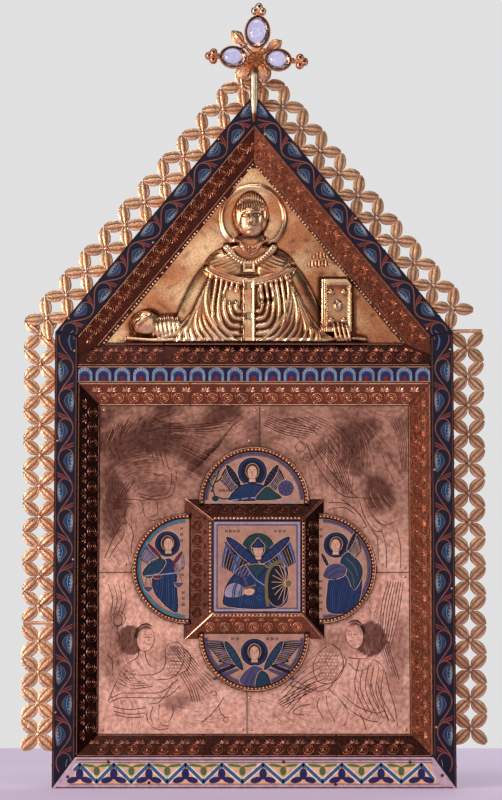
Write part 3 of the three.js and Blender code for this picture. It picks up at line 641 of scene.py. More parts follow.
for i in range(arches["count"]):
    centre = -half + pitch * (i + 0.36)
    layers = ((1, 1, "ring", 0.06), (0.68, 0.74, "middle", 0.09), (0.46, 0.54, "inner", 0.12),
              (0.3, 0.4, "core", 0.15))
    for widthShare, heightShare, tint, level in layers:
        shape = archOutline(centre, arches["halfWidth"] * widthShare, arches["height"] * heightShare,
                            arches["foot"])
        shape = [(min(max(u, -half + 0.4), half - 0.4), v) for u, v in shape]
        addPlate(sketch, shape, -0.4, level, arches[tint])
    outer = archOutline(centre, arches["halfWidth"] * 0.97, arches["height"] * 0.98, arches["foot"])
    inner = archOutline(centre, arches["halfWidth"] * 0.74, arches["height"] * 0.8, arches["foot"])
    for a, b in zip(outer[1:-1:2], inner[1:-1:2]):
        if abs(a[0]) < half - 1:
            addRidge(sketch, [a, b], 0.45, 0.1, arches["hatch"], flatSection)
for v in (0.35, tall - 0.5):
    addRidge(sketch, [(u, v) for u in np.linspace(-half, half, 30)], 0.8, 0.18, arches["edge"], flatSection)
finishSketch(sketch, "enamel_arches_enamelled", borderEnamel, "enamel_arches", "enamel_arches")
print("base and arches drawn")


# Stamped copper strips.

def tones(ground, scroll):
    return {"ground": colour(*ground), "scroll": colour(*scroll)}


# Each tone is a lit or shaded copy of the same stamped copper: painted light and shade for the way a strip faces the
# lamps.
stamped = {
    "scrollRadius": 4.9, "scrollPitch": 11.4, "lineWidth": 0.95, "lineHeight": 1, "beadPitch": 2.8,
    "beadRadius": 1.15,
    "bright": tones((146, 86, 62), (255, 206, 170)), "lit": tones((98, 54, 40), (220, 160, 124)),
    "dull": tones((58, 31, 26), (214, 152, 122)), "dark": tones((34, 18, 15), (150, 100, 80)),
    "shade": tones((54, 29, 24), (150, 100, 80)),
}


def addScroll(sketch, u, v, radius, turn, spin, tint, lineWidth):
    angle = np.linspace(0, 2.1 * 2 * math.pi, 32)
    reach = radius * (1 - 0.74 * (angle / angle[-1]) ** 0.95)
    path = np.stack([u + reach * np.cos(turn + spin * angle), v + reach * np.sin(turn + spin * angle)], axis=1)
    addRidge(sketch, path, np.linspace(lineWidth, lineWidth * 0.8, len(path)), stamped["lineHeight"], tint)
    addBead(sketch, u, v, radius * 0.2, 0.7, tint, 6)


def addFan(sketch, u, v, size, direction, tint):
    for spread, length in ((-1.3, 0.8), (-0.66, 0.95), (0, 1), (0.66, 0.95), (1.3, 0.8)):
        angle = direction + spread
        foot = (u + 0.12 * size * math.cos(angle), v + 0.12 * size * math.sin(angle))
        tip = (u + length * size * math.cos(angle), v + length * size * math.sin(angle))
        addPetal(sketch, foot, tip, size * 0.36, 0.7, tint)


def drawScrolls(sketch, outline, tone, scrollAt, fanAt, radius, pitch, fanSize, spin=1):
    scroll = stamped[tone]["scroll"]
    low, high = outline[:, 0].min(), outline[:, 0].max()
    count = int((high - low) // pitch)
    first = (low + high - (count - 1) * pitch) / 2
    for i in range(count):
        u = first + i * pitch
        if insideBy(outline, u, scrollAt) > radius * 0.8:
            addScroll(sketch, u, scrollAt, radius, math.pi / 2 * spin, spin * (-1 if fanAt > scrollAt else 1),
                      scroll, stamped["lineWidth"])
        between = u + pitch / 2
        if fanSize and insideBy(outline, between, fanAt) > 1.2:
            foot = fanAt + (-0.55 if fanAt > scrollAt else 0.55) * fanSize
            addFan(sketch, between, foot, fanSize, math.pi / 2 * (1 if fanAt > scrollAt else -1), scroll)
            if insideBy(outline, between, scrollAt) > 1:
                addPetal(sketch, (between, scrollAt - (foot - scrollAt) * 0.5), (between, foot), 1.2, 0.6,
                         scroll)


def drawBeads(sketch, outline, v, pitch, radius, tint, skip=0, margin=0.6):
    u = outline[:, 0].min()
    while u < outline[:, 0].max():
        if insideBy(outline, u, v) > margin and rng.random() >= skip:
            addBead(sketch, u, v, radius * rng.uniform(0.85, 1.1), radius, tint, 7, base=0.1)
        u += pitch


def drawRails(sketch, outline, levels, tint, width=0.8, height=0.6):
    span = np.linspace(outline[:, 0].min(), outline[:, 0].max(), 240)
    for v in levels:
        kept = [u for u in span if insideBy(outline, u, v) > 0.25]
        if len(kept) > 1:
            addRidge(sketch, [(u, v) for u in np.linspace(kept[0], kept[-1], 24)], width, height, tint)


strips = {
    # node: tone (painted light or shade for the way the strip faces the lamps), slot, share across of the scrolls and
    # of the fans, beads missing
    "field_strip_left": ("dark", "stamped_dark", 0.66, 0.26, None),
    "field_strip_right": ("lit", "stamped_light", 0.66, 0.26, None),
    "field_strip_top_left": ("bright", "stamped_light", 0.66, 0.26, None),
    "field_strip_top_right": ("bright", "stamped_light", 0.66, 0.26, None),
    "field_strip_bottom_left": ("dull", "stamped_dark", 0.3, 0.72, None),
    "field_strip_bottom_middle": ("dull", "stamped_dark", 0.3, 0.72, None),
    "field_strip_bottom_right": ("dull", "stamped_dark", 0.3, 0.72, None),
    "gable_sill_left": ("dull", "stamped_dark", 0.36, 0.78, None),
    "gable_sill_right": ("dull", "stamped_dark", 0.36, 0.78, None),
    "gable_strip_left": ("lit", "stamped_dark", 0.3, 0.62, 0.22),
    "gable_strip_right": ("lit", "stamped_light", 0.62, 0.26, 0.12),
}
beadTint = colour(240, 204, 170)
for node, (tone, slotName, scrollShare, fanShare, beadsMissing) in strips.items():
    place, outline = leaningPlace(node)
    width = outline[:, 1].max()
    across = width - (3 if beadsMissing is not None else 0)
    sketch = newSketch(place)
    addPlate(sketch, outline, -1.1, 0, stamped[tone]["ground"])
    drawScrolls(sketch, outline, tone, across * scrollShare, across * fanShare, stamped["scrollRadius"],
                stamped["scrollPitch"], 5.4)
    drawRails(sketch, outline, (0.9, across - 0.9), stamped[tone]["scroll"])
    if beadsMissing is not None:
        drawBeads(sketch, outline, width - 1.3, stamped["beadPitch"], stamped["beadRadius"], beadTint,
                  beadsMissing)
    finishSketch(sketch, node + "_stamped", stampedCopper, slotName, node)
print("stamped strips drawn")


# Repousse figure in the gable.

# bright is the painted highlight on the crowns; deep is the painted shade in the folds and over the right half, and
# also the colour of the dull spots
figure = {
    **palette(bright=(255, 214, 166), middle=(200, 132, 92), deep=(70, 34, 22)),
    "columns": 330, "rows": 210, "axis": -4, "haloCentre": (-0.9, 435.2), "haloRadius": 24.6,
    "head": (-2.5, 434.5), "headHalf": (11.2, 16), "shoulder": 397, "bodyHeight": 5.2, "book": (63, 366.3),
    "bookHalf": (11.8, 20.5),
}


def soft(value, edge=1):   # 0 outside, 1 inside, with a smooth step
    t = np.clip(value / edge * 0.5 + 0.5, 0, 1)
    return t * t * (3 - 2 * t)


def mound(x, z, cx, cz, rx, rz, power=0.5):
    return np.maximum(0, 1 - ((x - cx) / rx) ** 2 - ((z - cz) / rz) ** 2) ** power


def lineDistance(x, z, path):   # how far each point is from a line, and how far along it
    path = np.asarray(path, float)
    best = np.full(x.shape, 1e9)
    share = np.zeros(x.shape)
    lengths = np.linalg.norm(np.diff(path, axis=0), axis=1)
    run = np.concatenate([[0], np.cumsum(lengths)])
    for i in range(len(path) - 1):
        a, b = path[i], path[i + 1]
        d = b - a
        t = np.clip(((x - a[0]) * d[0] + (z - a[1]) * d[1]) / max(d @ d, 1e-9), 0, 1)
        distance = np.hypot(x - a[0] - t * d[0], z - a[1] - t * d[1])
        nearer = distance < best
        best = np.where(nearer, distance, best)
        share = np.where(nearer, (run[i] + t * lengths[i]) / run[-1], share)
    return best, share


def rib(x, z, path, width, height, fade=0.12):   # a rounded fold along a line, dying out at both ends
    distance, share = lineDistance(x, z, path)
    ends = np.clip(share / fade, 0, 1) * np.clip((1 - share) / fade, 0, 1)
    return height * np.maximum(0, 1 - (distance / width) ** 2) * (0.35 + 0.65 * ends)


# Heights of the sheet in millimetres, at arrays of x and z.
def figureHeight(x, z):
    f = figure

    def fold(path, width, height, fade=0.12, steps=4):
        return rib(x, z, curve(path, steps), width, height, fade)

    def bump(*shape):
        return mound(x, z, *shape)

    ground = 0.3 * np.sin(x * 0.07 + 1.3) * np.sin(z * 0.09) + 0.2 * np.sin(x * 0.15 - z * 0.11)
    height = ground
    hx, hz = f["haloCentre"]
    ring = np.hypot(x - hx, z - hz)
    halo = 0.8 * np.maximum(0, 1 - ((ring - f["haloRadius"]) / 2.2) ** 2) + 0.9 * soft(f["haloRadius"] - ring)
    height = height + halo
    # body under the mantle: round shoulders, then wide sleeves down to the sill
    mid = f["axis"]
    fall = f["shoulder"] - z
    half = np.where(fall > 0, 35 + 6 * np.sqrt(np.maximum(fall, 0) / 10) + fall * 0.26,
                    35 * np.sqrt(np.maximum(0, 1 - (np.minimum(fall, 0) / 17) ** 2)))
    across = np.abs(x - mid - 0.5) / np.maximum(half, 1e-3)
    dome = np.maximum(0, 1 - across ** 2.8) ** 0.5
    body = np.where(across < 1, f["bodyHeight"] * dome, 0)
    inside = soft((1 - across) * np.maximum(half, 1) - 2.2, 2.5)
    chest = 1.5 * bump(mid - 20, 396, 15, 11) + 1.5 * bump(mid + 21, 394, 14, 11)
    folds = np.zeros(x.shape)
    for side in (-1, 1):
        for k in range(5):   # nested loops that hang from the band and turn in to the stole
            path = [(mid + side * (8.5 + 4 * k), 384.5 + 1.1 * k),
                    (mid + side * (10.5 + 4.3 * k), 371 - 3.2 * k),
                    (mid + side * (9 + 2.6 * k), 363 - 5.2 * k), (mid + side * 5.2, 361.5 - 5.8 * k)]
            folds = np.maximum(folds, rib(x, z, curve(path, 5), 1.8, 1.5 + 0.3 * math.sin(1.9 * k), 0.05))
        for k in range(8):   # long folds from the shoulder to the hem
            path = [(mid + side * (29 + 1.15 * k), 391 - 2.6 * k),
                    (mid + side * (30.5 + 2.2 * k), 372 - 2.6 * k),
                    (mid + side * (24 + 4 * k), 354 - 1.2 * k), (mid + side * (9 + 6.3 * k), 338.5)]
            folds = np.maximum(folds, rib(x, z, curve(path, 5), 2.1, 1.25 + 0.4 * math.sin(2.4 * k + side),
                                          0.05))
        for k in range(5):   # gathers over the chest
            path = [(mid + side * (7 + 2.2 * k), 396.5 + 2.2 * k), (mid + side * (17 + 3 * k), 392.5 + 2 * k),
                    (mid + side * (30 + k), 397 + 1.2 * k)]
            folds = np.maximum(folds, fold(path, 1.6, 0.5))
        hollow = bump(mid + side * 13.5, 374, 6.5, 7.5, 1)
        folds = folds - 2.2 * hollow
    height = np.maximum(height, body + (chest + folds) * inside)
    # the band over the shoulders and down the middle
    yoke, along = lineDistance(x, z, curve([(mid - 36, 399), (mid - 22, 390), (mid, 384.5), (mid + 21, 389),
                                            (mid + 33, 397)], 6))
    band = 1.7 * soft(2.9 - yoke, 0.7) - 0.5 * soft(1.7 - yoke, 0.5)
    stole = np.abs(x - mid)
    down = 2 * soft(4.7 - stole, 0.6) - 0.6 * soft(3.5 - stole, 0.5)
    down = down - 0.5 * (np.abs(z - 358) < 2.6) * (stole < 2.2) - 0.5 * (np.abs(z - 381) < 2.6) * (stole < 2.4)
    flatBody = f["bodyHeight"] * dome
    height = np.where(yoke < 3.2, np.maximum(height, (flatBody + 0.5 + band) * inside), height)
    height = np.where((stole < 4.9) & (z < 386), flatBody + 0.4 + down, height)
    collar, along = lineDistance(x, z, curve([(mid - 17, 411), (mid - 9, 402.5), (mid + 1, 398.5),
                                              (mid + 11, 402.5),
                                              (mid + 19, 411)], 6))
    studs = 0.45 * (np.sin(along * 40 * math.pi) > 0) * (collar < 1.6)
    height = np.where(collar < 2.6, np.maximum(height, 6.4 + studs - 0.5 * (collar / 2.6) ** 2), height)
    brooch = (np.abs(x - mid) < 4.6) & (np.abs(z - 395.6) < 3.9)
    sunk = (np.abs(x - mid) < 3) & (np.abs(z - 395.6) < 2.4)
    height = np.where(brooch, np.maximum(height, 7.4 - 0.9 * sunk), height)
    # neck, cowl and head; the face is plain and calm
    cx, cz = f["head"]
    rx, rz = f["headHalf"]
    height = np.maximum(height, 5.4 * bump(cx, cz - 21, 12.5, 13))
    for k in range(3):
        path = [(cx - 13 + 2 * k, cz - 17 - 2 * k), (cx, cz - 24 - 2.6 * k), (cx + 13 - 2 * k, cz - 17 - 2 * k)]
        height = np.maximum(height, rib(x, z, curve(path, 5), 1.7, 6.4 - 0.3 * k, 0.2))
    hair = 7.4 * bump(cx, cz + 2.5, rx + 2.6, rz + 1, 0.4)
    strands = 0.3 * np.sin((x - cx) * 3.4 + 0.6 * np.sin(z)) * (z > cz + 5)
    height = np.maximum(height, hair + strands * (hair > 1))
    fringe = soft(cz + 8.6 - z + 0.5 * np.sin(x * 2.6), 0.9)
    faceMask = bump(cx, cz - 1.6, rx - 0.4, rz - 0.4, 0.42)
    face = 8.9 * faceMask * fringe
    nose = 1.8 * np.maximum(0, 1 - (np.abs(x - cx) / 1.8) ** 2) * np.clip((cz + 5 - z) / 8, 0,
                                                                          1) * (z > cz - 4.4)
    brow = 0.6 * np.maximum(0,
                            1 - ((z - cz - 4.8 + 0.05 * (np.abs(x - cx) - 4) ** 2) / 1.1) ** 2) * (np.abs(x - cx) < 8)
    eyes = sum(-1 * bump(cx + d, cz + 1.9, 3.2, 2.1, 1) + 0.85 * bump(cx + d, cz + 1.8, 2.3, 1.2, 0.7)
               for d in (-4.3, 4.3))
    lips = 0.8 * bump(cx, cz - 7.3, 3.1, 0.8, 0.7) + 0.8 * bump(cx, cz - 9, 2.4, 0.9, 0.7)
    chin = 0.7 * bump(cx, cz - 12.8, 3.4, 2.4, 1)
    detail = (nose + brow + eyes + lips + chin) * fringe * (faceMask > 0.3)
    height = np.maximum(height, np.where(face > 0.4, face + detail, 0))
    # the book on the left arm, with bosses on its cover
    bx, bz = f["book"]
    bw, bh = f["bookHalf"]
    inBook = (np.abs(x - bx) < bw) & (np.abs(z - bz) < bh)
    cover = 5 - 0.05 * (x - bx)
    sunk = (np.abs(x - bx - 1.2) < bw - 3.6) & (np.abs(z - bz + 0.6) < bh - 4.4)
    cover = cover - 0.9 * sunk
    for sx, sz in ((-3.8, 10.5), (6.2, 10.5), (-3.8, -11.5), (6.2, -11.5)):
        cover = cover + 1.1 * bump(bx + sx, bz + sz, 2.2, 2.2)
    cover = cover + 1.6 * bump(bx + 1.2, bz, 3, 4.3) - 0.9 * bump(bx + 1.2, bz, 1.5, 2.6)
    pages = (x < bx - bw + 3.6) & inBook
    cover = np.where(pages, 3.9 + 0.35 * np.sin(x * 4.2), cover)
    height = np.where(inBook, np.maximum(height, cover), height)
    for k in range(4):   # fingers of the hand under the book
        path = [(bx + 1 + 3.1 * k, 339.5), (bx - 1.2 + 3.4 * k, 346),
                (bx - 2 + 3.2 * k, 352 - 0.8 * abs(k - 1))]
        height = np.maximum(height, 4.6 + fold(path, 1.5, 1.9) - 4.6 * (lineDistance(x, z, path)[0] > 1.5))
    # sleeves and cuffs beside the sill, the right hand raised at the far left
    for k in range(7):
        path = [(-38 - 2 * k, 372 - 4.5 * k), (-52 - 2 * k, 356 - 2.2 * k), (-62 - 2.5 * k, 340.5)]
        height = np.maximum(height, fold(path, 2, 4 - 0.2 * k))
        path = [(32 + 1.6 * k, 374 - 5 * k), (42 + 2.1 * k, 360 - 3 * k), (49 + 2.6 * k, 341)]
        height = np.maximum(height, fold(path, 2, 3.8 - 0.2 * k))
    cuff = 4.4 * bump(-66, 350, 15, 9.5)
    rings = 0.55 * np.sin(x * 1.9 + z * 0.3)
    height = np.maximum(height, np.where(cuff > 0, cuff + rings * (cuff > 1), 0))
    hand = 5.2 * bump(-83, 353.5, 11.5, 9.5)
    for k in range(4):
        path = [(-77 - 2.2 * k, 359.5 - 1.2 * k), (-84 - 2 * k, 360.5 - 3.4 * k),
                (-91.5 + 0.5 * k, 354.5 - 3.6 * k)]
        hand = hand + fold(path, 1.5, 0.9)
    height = np.maximum(height, hand)
    # rows of plain upright ticks on the ground, long and short in turn
    for cx, cz, count, step in ((-84, 398.8, 8, 2.7), (32, 406, 10, 2.6), (36, 399.5, 9, 2.6)):
        for k in range(count):
            spot = cx + k * step
            reach = 2.6 if k % 2 else 1.5
            path = [(spot, cz - reach), (spot, cz + reach)]
            height = height - rib(x, z, path, 0.75, 0.7) * (height < 2.4)
    # the hem stands forward along the sill
    lip = 3 * np.maximum(0, 1 - ((z - 340.6 - 0.7 * np.sin(x * 0.11)) / 2.2) ** 2) * (np.abs(x + 6) < 92)
    return np.maximum(height, lip)


def makeGableFigure():
    low, high = nodeBox("gable_relief")
    f = figure
    bottom, top = low[2], high[2]
    base = high[1] - 1
    rows, columns = f["rows"], f["columns"]
    v = np.linspace(0, 1, rows + 1)
    u = np.linspace(-1, 1, columns + 1)
    z = (bottom + v * (top - bottom))[:, None] * np.ones(columns + 1)
    half = high[0] * (1 - v) + 2.6 * v
    x = half[:, None] * u
    height = figureHeight(x, z)
    rim = np.minimum(np.minimum((1 - np.abs(u))[None, :] * half[:, None] * 0.75, (z - bottom) * 3),
                     (top - z) * 2)
    height = height * np.clip(rim / 1.6, 0, 1)
    front = base - np.clip(height, -0.6, 10.2)
    # painted highlight on the crowns, painted shade in the folds
    padded = np.pad(height, 4, mode="edge")
    around = sum(padded[4 + i:4 + i + rows + 1, 4 + j:4 + j + columns + 1]
                 for i in (-4, 0, 4) for j in (-4, 0, 4)) / 9
    crown = np.clip((height - around) * 1.2, -1, 1)
    drift = np.sin(x * 0.09 + 2 * np.sin(z * 0.05)) * np.sin(z * 0.12 + 1.4 * np.sin(x * 0.07))
    shade = 1 / (1 + np.exp(-(x - 22 - 0.25 * (z - 380)) / 14))   # painted shade: the right half is darker
    middle = blend(f["middle"], f["bright"], np.clip(0.35 + 0.55 * drift - 0.3 * shade, 0, 1))
    tint = middle + (np.array(f["bright"]) - middle) * np.clip(crown, 0, 1)[..., None]
    tint = tint + (np.array(f["deep"]) - tint) * np.clip(-crown * 1.2, 0, 1)[..., None]
    across, up = np.sin(x * 0.31 + 2.2 * np.sin(z * 0.19)), np.sin(z * 0.37 + 1.9 * np.sin(x * 0.17))
    spots = np.clip(across * up - 0.45, 0, 1)
    # painted shade over the right half, together with dull spots on the low ground
    dull = np.clip(0.34 * shade + 0.7 * spots * (height < 3.2), 0, 1)
    tint = tint + (np.array(f["deep"]) - tint) * dull[..., None]
    points = [np.stack([x, front, z], axis=-1).reshape(-1, 3)]
    back = np.stack([x, np.full(x.shape, high[1]), z], axis=-1)
    border = np.concatenate([back[0], back[1:, -1], back[-1, -2::-1], back[-2:0:-1, 0]])
    points.append(border)
    index = np.arange((rows + 1) * (columns + 1)).reshape(rows + 1, columns + 1)
    a, b = index[:-1, :-1].ravel(), index[:-1, 1:].ravel()
    c, d = index[1:, 1:].ravel(), index[1:, :-1].ravel()
    faces = np.stack([a, b, c, d], axis=1).tolist()
    rimIndex = np.concatenate([index[0], index[1:, -1], index[-1, -2::-1], index[-2:0:-1, 0]])
    start, count = index.size, len(rimIndex)
    for i in range(count):
        j = (i + 1) % count
        faces.append((int(rimIndex[j]), int(rimIndex[i]), start + i, start + j))
    faces.append(tuple(start + i for i in reversed(range(count))))
    tints = np.concatenate([tint.reshape(-1, 4), np.broadcast_to(f["middle"], (count, 4))])
    piece = makeObject("gable_figure", np.concatenate(points), faces, tints, reliefGilt, smooth=70)
    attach(piece, "root")
    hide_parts("gable_relief")


makeGableFigure()
print("gable figure made")


# The quatrefoil: beaded rims and the centre frame.

lobes = {
    **palette(rimTint=(104, 62, 46), bead=(240, 178, 140), edge=(236, 184, 150)),
    "radius": 42, "reach": 51, "rim": 3.8, "beadPitch": 2.9, "beadRadius": 1.1,
}
frameBoxes = [nodeBox("centre_frame_" + side) for side in ("left", "right", "bottom", "top")]
middleX = (frameBoxes[0][0][0] + frameBoxes[1][1][0]) / 2
middleZ = (frameBoxes[2][0][2] + frameBoxes[3][1][2]) / 2


def lobePlace(side, depth):   # u along the lobe's foot, v outwards from the middle of the quatrefoil
    y = frontY + depth
    out = {"top": (0, 0, 1), "right": (1, 0, 0), "bottom": (0, 0, -1), "left": (-1, 0, 0)}[side]
    along = np.array([out[2], 0, -out[0]])
    centre = np.array([middleX, y, middleZ])
    return makePlace(centre, centre + along, centre + np.array(out))


for side in ("top", "right", "bottom", "left"):
    node = "lobe_rim_" + side
    low, high = nodeBox(node)
    depth = low[1] - frontY
    place = lobePlace(side, depth)
    foot = abs(toPlace(place, (low + high) / 2)[1])
    reach, radius, rim = lobes["reach"], lobes["radius"], lobes["rim"]
    start = math.asin((49.3 - reach) / radius)
    sketch = newSketch(place)
    turn = np.linspace(start, math.pi - start, 49)
    outer = [(radius * math.cos(a), reach + radius * math.sin(a)) for a in turn]
    inner = [((radius - rim) * math.cos(a), reach + (radius - rim) * math.sin(a)) for a in turn]
    for i in range(len(turn) - 1):
        addPlate(sketch, [outer[i], outer[i + 1], inner[i + 1], inner[i]], -5.4, 0, lobes["rimTint"])
    for share, width, tint in ((0.98, 0.9, lobes["edge"]), (0.915, 0.7, lobes["rimTint"])):
        path = [(radius * share * math.cos(a), reach + radius * share * math.sin(a)) for a in turn[1:-1]]
        addRidge(sketch, path, width, 0.6, tint)
    count = int(radius * (math.pi - 2 * start) / lobes["beadPitch"])
    for a in np.linspace(start + 0.03, math.pi - start - 0.03, count):
        addBead(sketch, radius * 0.945 * math.cos(a), reach + radius * 0.945 * math.sin(a), lobes["beadRadius"],
                0.9, lobes["bead"], 7)
    finishSketch(sketch, node + "_beaded", stampedCopper, "beaded_rim", node)

# centre frame: mitred strips that slope down from the plaque
# each strip's tone is painted light or shade for the way it faces the lamps
centreStrips = {"centre_frame_bottom": ("bright", "stamped_light"),
                "centre_frame_top": ("shade", "stamped_dark"),
                "centre_frame_left": ("shade", "stamped_light"), "centre_frame_right": ("dark", "stamped_dark")}
for node, (tone, slotName) in centreStrips.items():
    place, outline = leaningPlace(node)
    middle = (outline[:, 0].min() + outline[:, 0].max()) / 2
    outlineInner = sorted((p for p in outline.tolist() if p[1] < 3), key=lambda p: p[0])
    outlineOuter = sorted((p for p in outline.tolist() if p[1] >= 3),
                          key=lambda p: (round(p[0], 1), -p[1] if p[0] < middle else p[1]))
    sketch = newSketch(place)
    addPlate(sketch, outlineInner + outlineOuter[::-1], -1.1, 0, stamped[tone]["ground"])
    whole = np.array([outlineInner[0], outlineInner[-1], outlineOuter[-1], outlineOuter[0]])
    width = min(p[1] for p in outlineOuter)
    drawScrolls(sketch, whole, tone, width * 0.68, width * 0.3, 4.3, 11, 3)
    drawRails(sketch, whole, (0.7, 2.9), stamped[tone]["scroll"], 0.6, 0.5)
    # painted highlight on the beads, less bright on the darkest shaded strip
    drawBeads(sketch, whole, 1.8, 2.9, 1.25, stamped["bright" if tone != "dark" else "lit"]["scroll"])
    for a, b in ((outlineInner[0], outlineOuter[0]), (outlineInner[-1], outlineOuter[-1])):
        a, b = np.array(a), np.array(b)
        inward = np.array([0.6 if a[0] < middle else -0.6, 0])
        addRidge(sketch, [a + inward, (a + b) / 2 + inward, b + inward], 1.1, 0.8, stamped[tone]["scroll"])
    finishSketch(sketch, node + "_stamped", stampedCopper, slotName, node)
print("quatrefoil frames made")


# Engraved plates of the field.

plates = {
    **palette(metal=(246, 186, 162), varnish=(122, 80, 68), dark=(58, 36, 34), pale=(255, 214, 192),
              line=(84, 48, 42), nail=(206, 150, 120)),
    "step": 1.5, "wave": 0.16, "lineWidth": 0.6, "hatch": 640, "hatchShade": (0.66, 0.6, 0.58, 1),
    "hatchWidth": 0.26, "hatchPale": (1.9, 1.8, 1.75, 1), "paleFrom": 0.62,
    "browned": {"upper_left": 0.8, "upper_right": 0.62, "lower_left": 0.05, "lower_right": 0.12},
}
# browned patches: middle, half width and half height, strength, all from the middle of the quatrefoil
patches = [(-78.8, 99.6, 34, 15, 1), (-97.5, 92.8, 24, 20, 0.9), (-46.5, 99.6, 28, 12, 0.7),
           (-107.4, 50.3, 12, 30, 0.9),
           (-92.2, 57.1, 24, 6, 0.5), (-100.5, 23.2, 16, 9, 0.3), (77.1, 99.6, 20, 27, 0.9),
           (95.6, 58.8, 15, 17, 0.9),
           (61.8, 91.1, 16, 11, 0.4), (109.1, 45.2, 8, 9, 0.6), (88.7, 40.1, 20, 9, 0.3),
           (37.9, 69, 20, 12, 0.3),
           (-105.6, -55.3, 9, 24, 0.6), (-110.6, -73.8, 7, 13, 0.5), (-70.2, -65.4, 14, 10, 0.3),
           (-60, -100.5, 12, 5, 0.6),
           (-39.8, -85.5, 16, 14, 0.25), (25.9, -75.4, 16, 16, 0.35), (59.6, -55.3, 16, 10, 0.45),
           (108.5, -65.4, 8, 32, 0.5), (109.9, -102.2, 8, 12, 0.35), (47.9, -36.8, 18, 8, 0.4),
           (-12.9, -77.1, 10, 14, 0.2)]
seamNails = [(-3.4, 97.6), (-97.6, 3.4), (97.6, 3.4), (-3.4, -97.6), (3.4, -100.5)]
haloes = [(-93.8, -54, 10.6, 11.2), (88.3, -53.3, 12.4, 13)]
heads = [(-82.4, -53, 6.6, 9.6, 0.3), (76.2, -50.6, 6.6, 9.8, -0.3)]
